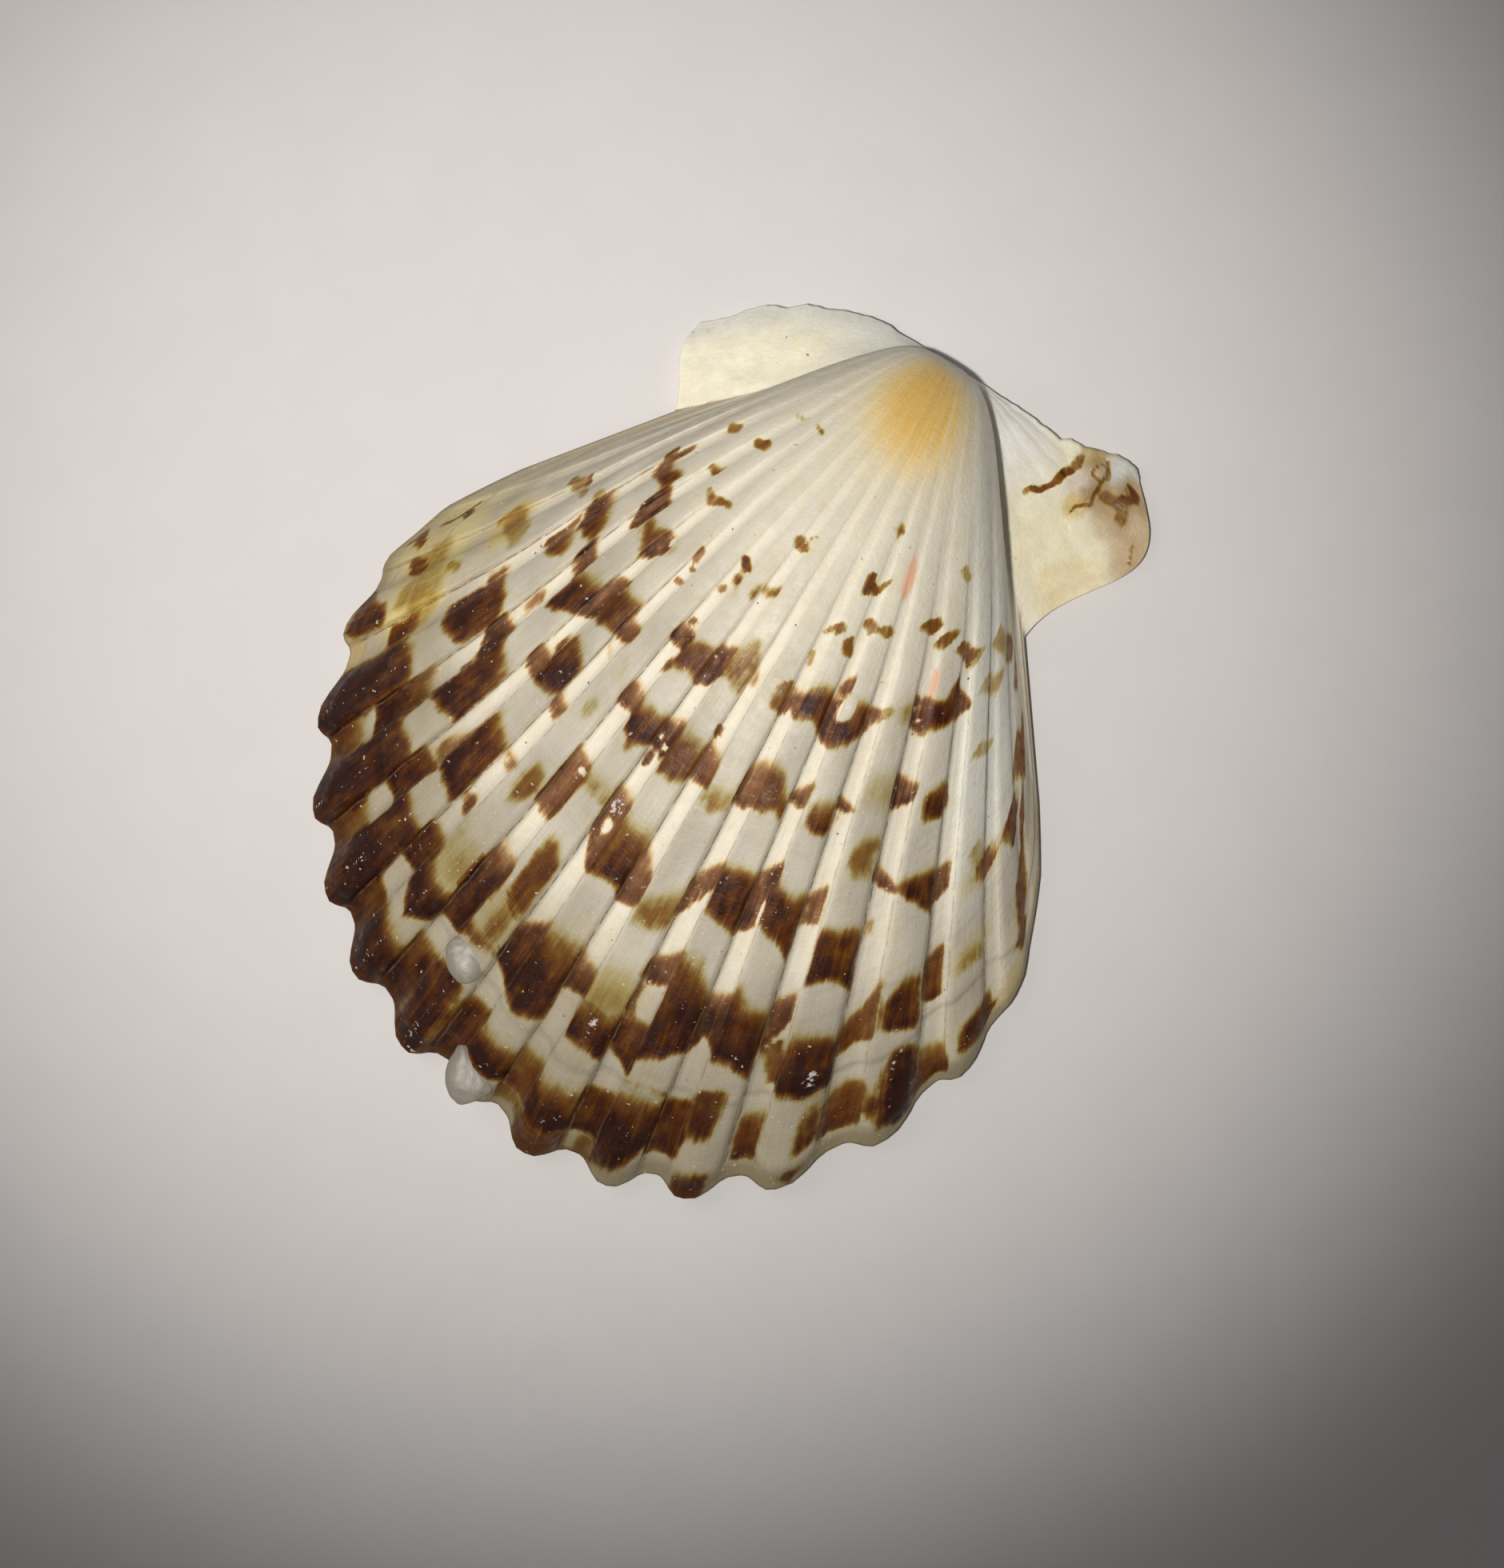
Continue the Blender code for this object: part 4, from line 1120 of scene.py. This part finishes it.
# %% Rib-foot line
rib_here = shell.add("ShaderNodeSeparateXYZ", {0: here}).outputs["X"]
wander = shell.times_plus(shell.noise(here, 2.5, (1, 1.4, 1), 3), 0.07, -0.035)
from_crest = shell.math("ADD", shell.math("ADD", rib_here, wander), 0.5)
from_crest = shell.math("SUBTRACT", shell.math("FRACT", from_crest), 0.5)
right_foot = shell.math("GREATER_THAN", from_crest, 0.0)
to_foot = shell.math("ABSOLUTE", shell.math("SUBTRACT", shell.math("ABSOLUTE", from_crest), RIB_FOOT))
crack = shell.math("SUBTRACT", 1.0, shell.ramp(to_foot, 0.004, 0.020))
broken = shell.ramp(shell.noise(here, 5, (0.6, 1.2, 1), 3), 0.35, 0.55)
for part in (shell.times_plus(right_foot, 0.5, 0.4), shell.attribute("crack"), broken):
    crack = shell.math("MULTIPLY", crack, part)
# painted shade in the cleft, stronger at the right foot; on dark brown the same mid-brown makes a pale lip,
# partly wear and partly painted highlight
coloured = shell.mix(crack, coloured, opaque(linear(112, 92, 72)))
print("nodes so far:", len(shell.tree.nodes))

# %% [markdown]
# Chips, crumbs, dust and painted glints
# The last marks are specks: white chips on the dark crests, which also serve as painted glints of light
# there, pinkish crumbs in the chalky troughs, pale dust that is partly painted glints too, and a few grains
# of dirt. Each could be a tiny mesh, but there are thousands. Noise cut off just below its highest values
# leaves such scattered spots, and a value on the mesh can lower the cut where they should crowd.

# %% Specks
chips = shell.noise(here, 13, (1.2, 1.8, 1), 4, 0.65)
chip_level = shell.times_plus(shell.attribute("flakes"), -0.36, 0.86)
chip_glint_mask = shell.ramp(shell.math("SUBTRACT", chips, chip_level), 0.0, 0.04)
# white chips on the dark crests, which also serve as painted glints of light
coloured = shell.dab(coloured, chip_glint_mask, 0.85, (220, 212, 208))
crumbs = shell.ramp(shell.noise(here, 7, (1.2, 2.6, 1), 4, 0.7), 0.62, 0.68)
crumbs = shell.math("MULTIPLY", crumbs, shell.math("SUBTRACT", 1.0, polished))
coloured = shell.dab(coloured, crumbs, 0.7, (224, 198, 172))
# pale dust, and pale specks that are painted glints of light
dust_and_glints = shell.times_plus(patches, 0.35, shell.noise(on_object, 3400, detail=1, roughness=0.4))
coloured = shell.dab(coloured, shell.ramp(dust_and_glints, 0.93, 0.97), 0.6, (226, 206, 184))
dirt = shell.ramp(shell.noise(on_object, 2600, detail=2, roughness=0.5), 0.745, 0.775)
coloured = shell.dab(coloured, dirt, 0.55, (120, 108, 84))
print("nodes so far:", len(shell.tree.nodes))

# %% [markdown]
# # Shine and the finest relief
# Polished crests shine a little and chalky troughs don't, so the roughness follows the polish and is broken
# up by blotches. What is finer than the mesh is left to a bump node: growth lines, streaks, grain and chips.
# A little light spreads under the surface, as in wax, which softens the shadows between the ribs.

# %% Shine and bump
rough = shell.vary(shell.times_plus(polished, -0.16, 0.72), blotches, 0.9)
height = shell.math("MULTIPLY", striae, 0.3)
for fine, share_of_it in ((fine_streaks, 0.35), (grain, 0.8), (blotches, 0.9), (chip_glint_mask, 0.8)):
    height = shell.times_plus(fine, share_of_it, height)
shell.shade(
    Base_Color=coloured,
    Roughness=shell.times_plus(cover, -0.04, rough, clamp=True),
    Normal=shell.bumps(height, 0.55, 0.00007),
    Subsurface_Weight=0.22,
    Subsurface_Scale=0.0006,
    Subsurface_Radius=(1.0, 0.75, 0.5),
    IOR=1.45,
    Specular_IOR_Level=0.4,
)
valve.data.materials.append(shell.material)
print("nodes of the shell material:", len(shell.tree.nodes))

# %% The valve in the frame
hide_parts("valve")
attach(valve, "root")
print(valve.name, "stands for the solid")

# %% [markdown]
# # Lumps of lime
# Two lumps of glassy lime sit near the broken rib: one on its crest, one in the notch where the edge is gone.
# They could be sculpted. A flat ball whose radius is disturbed by soft noise, narrower at one end, is close
# to them and stays a formula. They are set a little into the shell, so that they look grown on.

# %% A stone


def on_shell(x, y):
    """The point of the outer face nearest to a place given in mm from the beak."""
    nearest = np.argmin(np.hypot(ear_x - x, ear_y - y))
    return outer.reshape(-1, 3)[nearest]


def stone(centre, radii, seed, level, taper=0.0, turned=0.0):
    """A ball of radius 1 + noise, scaled to radii in mm, narrowed to +Y and turned about Z by degrees."""
    ball = bmesh.new()
    bmesh.ops.create_icosphere(ball, subdivisions=level, radius=1)
    points = np.array([vertex.co for vertex in ball.verts])
    faces = np.array([[vertex.index for vertex in face.verts] for face in ball.faces])
    ball.free()
    uneven = 1 + 0.14 * waves(points[:, 0] * 0.5 + points[:, 2] * 0.35, points[:, 1] * 0.5, seed)
    uneven = uneven + 0.025 * waves(points[:, 0] * 1.3, points[:, 1] * 1.3 + points[:, 2], seed + 1)
    points = points * uneven[:, None] * np.array(radii) * MM
    points[:, 0] *= 1 - taper * points[:, 1] / (radii[1] * MM)
    cos, sin = np.cos(np.radians(turned)), np.sin(np.radians(turned))
    return centre + points @ np.array([[cos, sin, 0], [-sin, cos, 0], [0, 0, 1]]), faces


def join(stones):
    """Several point and face arrays as one, with the faces renumbered."""
    all_points, all_faces = zip(*stones)
    starts = np.cumsum([0] + [len(points) for points in all_points[:-1]])
    renumbered = [faces + start for faces, start in zip(all_faces, starts)]
    return np.concatenate(all_points), np.concatenate(renumbered)


crest_lump = on_shell(-5.22, -42.0) + np.array([0, 0, -0.08]) * MM
notch_lump = on_shell(-2.1, -46.6) + np.array([-0.16, -0.9, -0.5]) * MM
print("the lumps are", round(float(np.linalg.norm(crest_lump - notch_lump)) / MM, 1), "mm apart")

# %% Glassy lumps
lumps = [
    stone(crest_lump, radii=(1.2, 1.3, 0.36), seed=3, level=5, taper=0.2, turned=-143),
    stone(notch_lump, radii=(1.15, 1.7, 0.34), seed=8, level=5, taper=0.55, turned=43),
]
glassy_lumps = make_mesh("lime_lumps", *join(lumps))
glass = Finish("glassy_lime")
milky = glass.noise(glass.object_place(), 1900, detail=6, roughness=0.65)
glass.shade(
    Base_Color=glass.mix(milky, opaque(linear(182, 173, 156)), opaque(linear(214, 206, 190))),
    Roughness=glass.times_plus(milky, 0.5, 0.15),
    Normal=glass.bumps(milky, 0.4, 0.0001),
    Transmission_Weight=0.65,
    Subsurface_Weight=0.15,
    Subsurface_Scale=0.0008,
)
glassy_lumps.data.materials.append(glass.material)
print("triangles of the lumps:", len(glassy_lumps.data.polygons))

# %% [markdown]
# # Grains of sand
# Sand is caught in the troughs. A particle system could scatter it. Three dozen grains are few enough to be
# stones of the same kind, very small, at seeded random places beside the ribs, joined to one mesh. Each has
# one shade of its own, stored on its points, from almost black to pale quartz.

# %% Grains of sand
GRAINS = 36
rng = np.random.default_rng(4)
grains = []
for number in range(GRAINS):
    row = np.searchsorted(row_size, rng.uniform(0.38, 0.97))
    line = np.searchsorted(rib_line, rng.integers(1, 15) + rng.choice((-0.47, -0.4, 0.36, 0.44)))
    radius = rng.uniform(0.03, 0.07)
    grains.append(stone(outer[row, line], (radius, radius * 1.2, radius * 0.9), number, 2))
sand = make_mesh("sand_grains", *join(grains))
add_attribute(sand, "shade", "FLOAT", "value", np.repeat(rng.random(GRAINS), len(grains[0][0])))
SAND_SHADES = (
    (0.0, linear(44, 36, 30)),
    (0.5, linear(90, 66, 44)),
    (0.7, linear(150, 112, 66)),
    (1.0, linear(206, 190, 160)),
)
grit = Finish("beach_sand")
grit_colour = grit.colour_ramp(grit.attribute("shade"), SAND_SHADES)
speckle = grit.noise(grit.object_place(), 9000, detail=2)
grit.shade(Base_Color=grit.mix(speckle, grit_colour, opaque(linear(150, 138, 118))), Roughness=0.35)
sand.data.materials.append(grit.material)
print("triangles of the sand:", len(sand.data.polygons))

# %% Lumps and sand in the frame
for piece in (glassy_lumps, sand):
    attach(piece, "root")
print("riding on the shell:", glassy_lumps.name, sand.name)

# %% [markdown]
# # Floor
# The shell lies on pale paper. A plain quad is enough for a flat sheet. Faint noise in its colour keeps it
# from looking like a screen. It isn't part of the object.

# %% Paper
PAPER = 0.6
half = PAPER / 2
corners = np.array([[-half, -half, 0], [half, -half, 0], [half, half, 0], [-half, half, 0]])
floor = make_mesh("paper", corners, np.array([[0, 1, 2], [0, 2, 3]]))
paper = Finish("pale_paper")
fibres = paper.noise(paper.object_place(), 260, detail=4)
paper_colour = paper.mix(fibres, opaque(linear(214, 209, 206)), opaque(linear(220, 215, 212)))
paper.shade(Base_Color=paper_colour, Roughness=0.9, Specular_IOR_Level=0.2)
floor.data.materials.append(paper.material)
print("paper:", PAPER, "m square")

# %% [markdown]
# # Camera
# The camera looks straight down from a quarter of a metre, rolled so that the beak points to the upper right.
# Its place and its lens are worked out from the beak and from the width that the frame has to show.

# %% Camera
ROLL = np.radians(31.5)
RANGE = 0.26
FRAME_WIDTH = 83.56 * MM
SENSOR = 36
aim = BEAK + np.array([2.9, -25.6, 0]) * MM
lens = bpy.data.cameras.new("camera")
lens.sensor_fit = "HORIZONTAL"
lens.sensor_width = SENSOR
lens.lens = SENSOR * RANGE / FRAME_WIDTH
lens.clip_start = 0.01
camera = bpy.data.objects.new("camera", lens)
camera.location = aim + np.array([0, 0, RANGE])
camera.rotation_euler = (0, 0, ROLL)
bpy.context.scene.collection.objects.link(camera)
bpy.context.scene.camera = camera
print("lens in mm:", round(lens.lens, 1))

# %% [markdown]
# # Lights
# A soft round light close to the lens, a little to its left, gives the ribs their thin shadows and fades
# towards the edges of the paper. A broad weak one further left lets the paper darken gently to the right.
# Both are placed as offsets in the view, to the right, to the top and up, and turned to face what they light.

# %% Lights
right_of_view = np.array([np.cos(ROLL), np.sin(ROLL), 0])
top_of_view = np.array([-np.sin(ROLL), np.cos(ROLL), 0])
KEY_HEIGHT, KEY_POOL = 0.28, 0.067


def in_view(right, top, up):
    """A place given as offsets from the aim: right and top as the camera sees them, and up."""
    return right_of_view * right + top_of_view * top + np.array([0, 0, up])


def add_light(name, kind, offset, target, watts, colour):
    """A light at an offset, turned to face a target."""
    light = bpy.data.lights.new(name, kind)
    light.energy = watts
    light.color = colour
    lamp = bpy.data.objects.new(name, light)
    place, facing = in_view(*offset), in_view(*target)
    lamp.location = aim + place
    lamp.rotation_euler = Vector(facing - place).to_track_quat("-Z", "Y").to_euler()
    bpy.context.scene.collection.objects.link(lamp)
    return light


key = add_light("key", "SPOT", (-0.035, -0.01, KEY_HEIGHT), (-0.0085, 0.0125, 0), 2.75, (1.0, 0.985, 0.965))
key.spot_size = 2 * np.arctan(KEY_POOL / KEY_HEIGHT)
key.spot_blend = 1.0
key.shadow_soft_size = 0.007
side_light = add_light("side", "AREA", (-0.12, 0.06, 0.14), (0, 0, 0), 0.05, (1.0, 0.99, 0.98))
side_light.size = 0.12
print("watts:", round(key.energy, 2), round(side_light.energy, 2))

# %% Light of the room
world = bpy.data.worlds.new("room")
world.use_nodes = True
background = world.node_tree.nodes["Background"]
background.inputs["Color"].default_value = (0.95, 0.97, 1.0, 1)
background.inputs["Strength"].default_value = 0.078
bpy.context.scene.world = world
bpy.context.scene.view_settings.view_transform = "Standard"
print("room light:", round(background.inputs["Strength"].default_value, 3))

# %% [markdown]
# # Finish
# The box of the finished look is printed, as the solid's box was at the start, so that the two can be set
# side by side to see that the dressing has kept the shell's size.

# %% Finish
print("visual box in mm:", np.round(np.ptp(points, axis=0) / MM, 2))
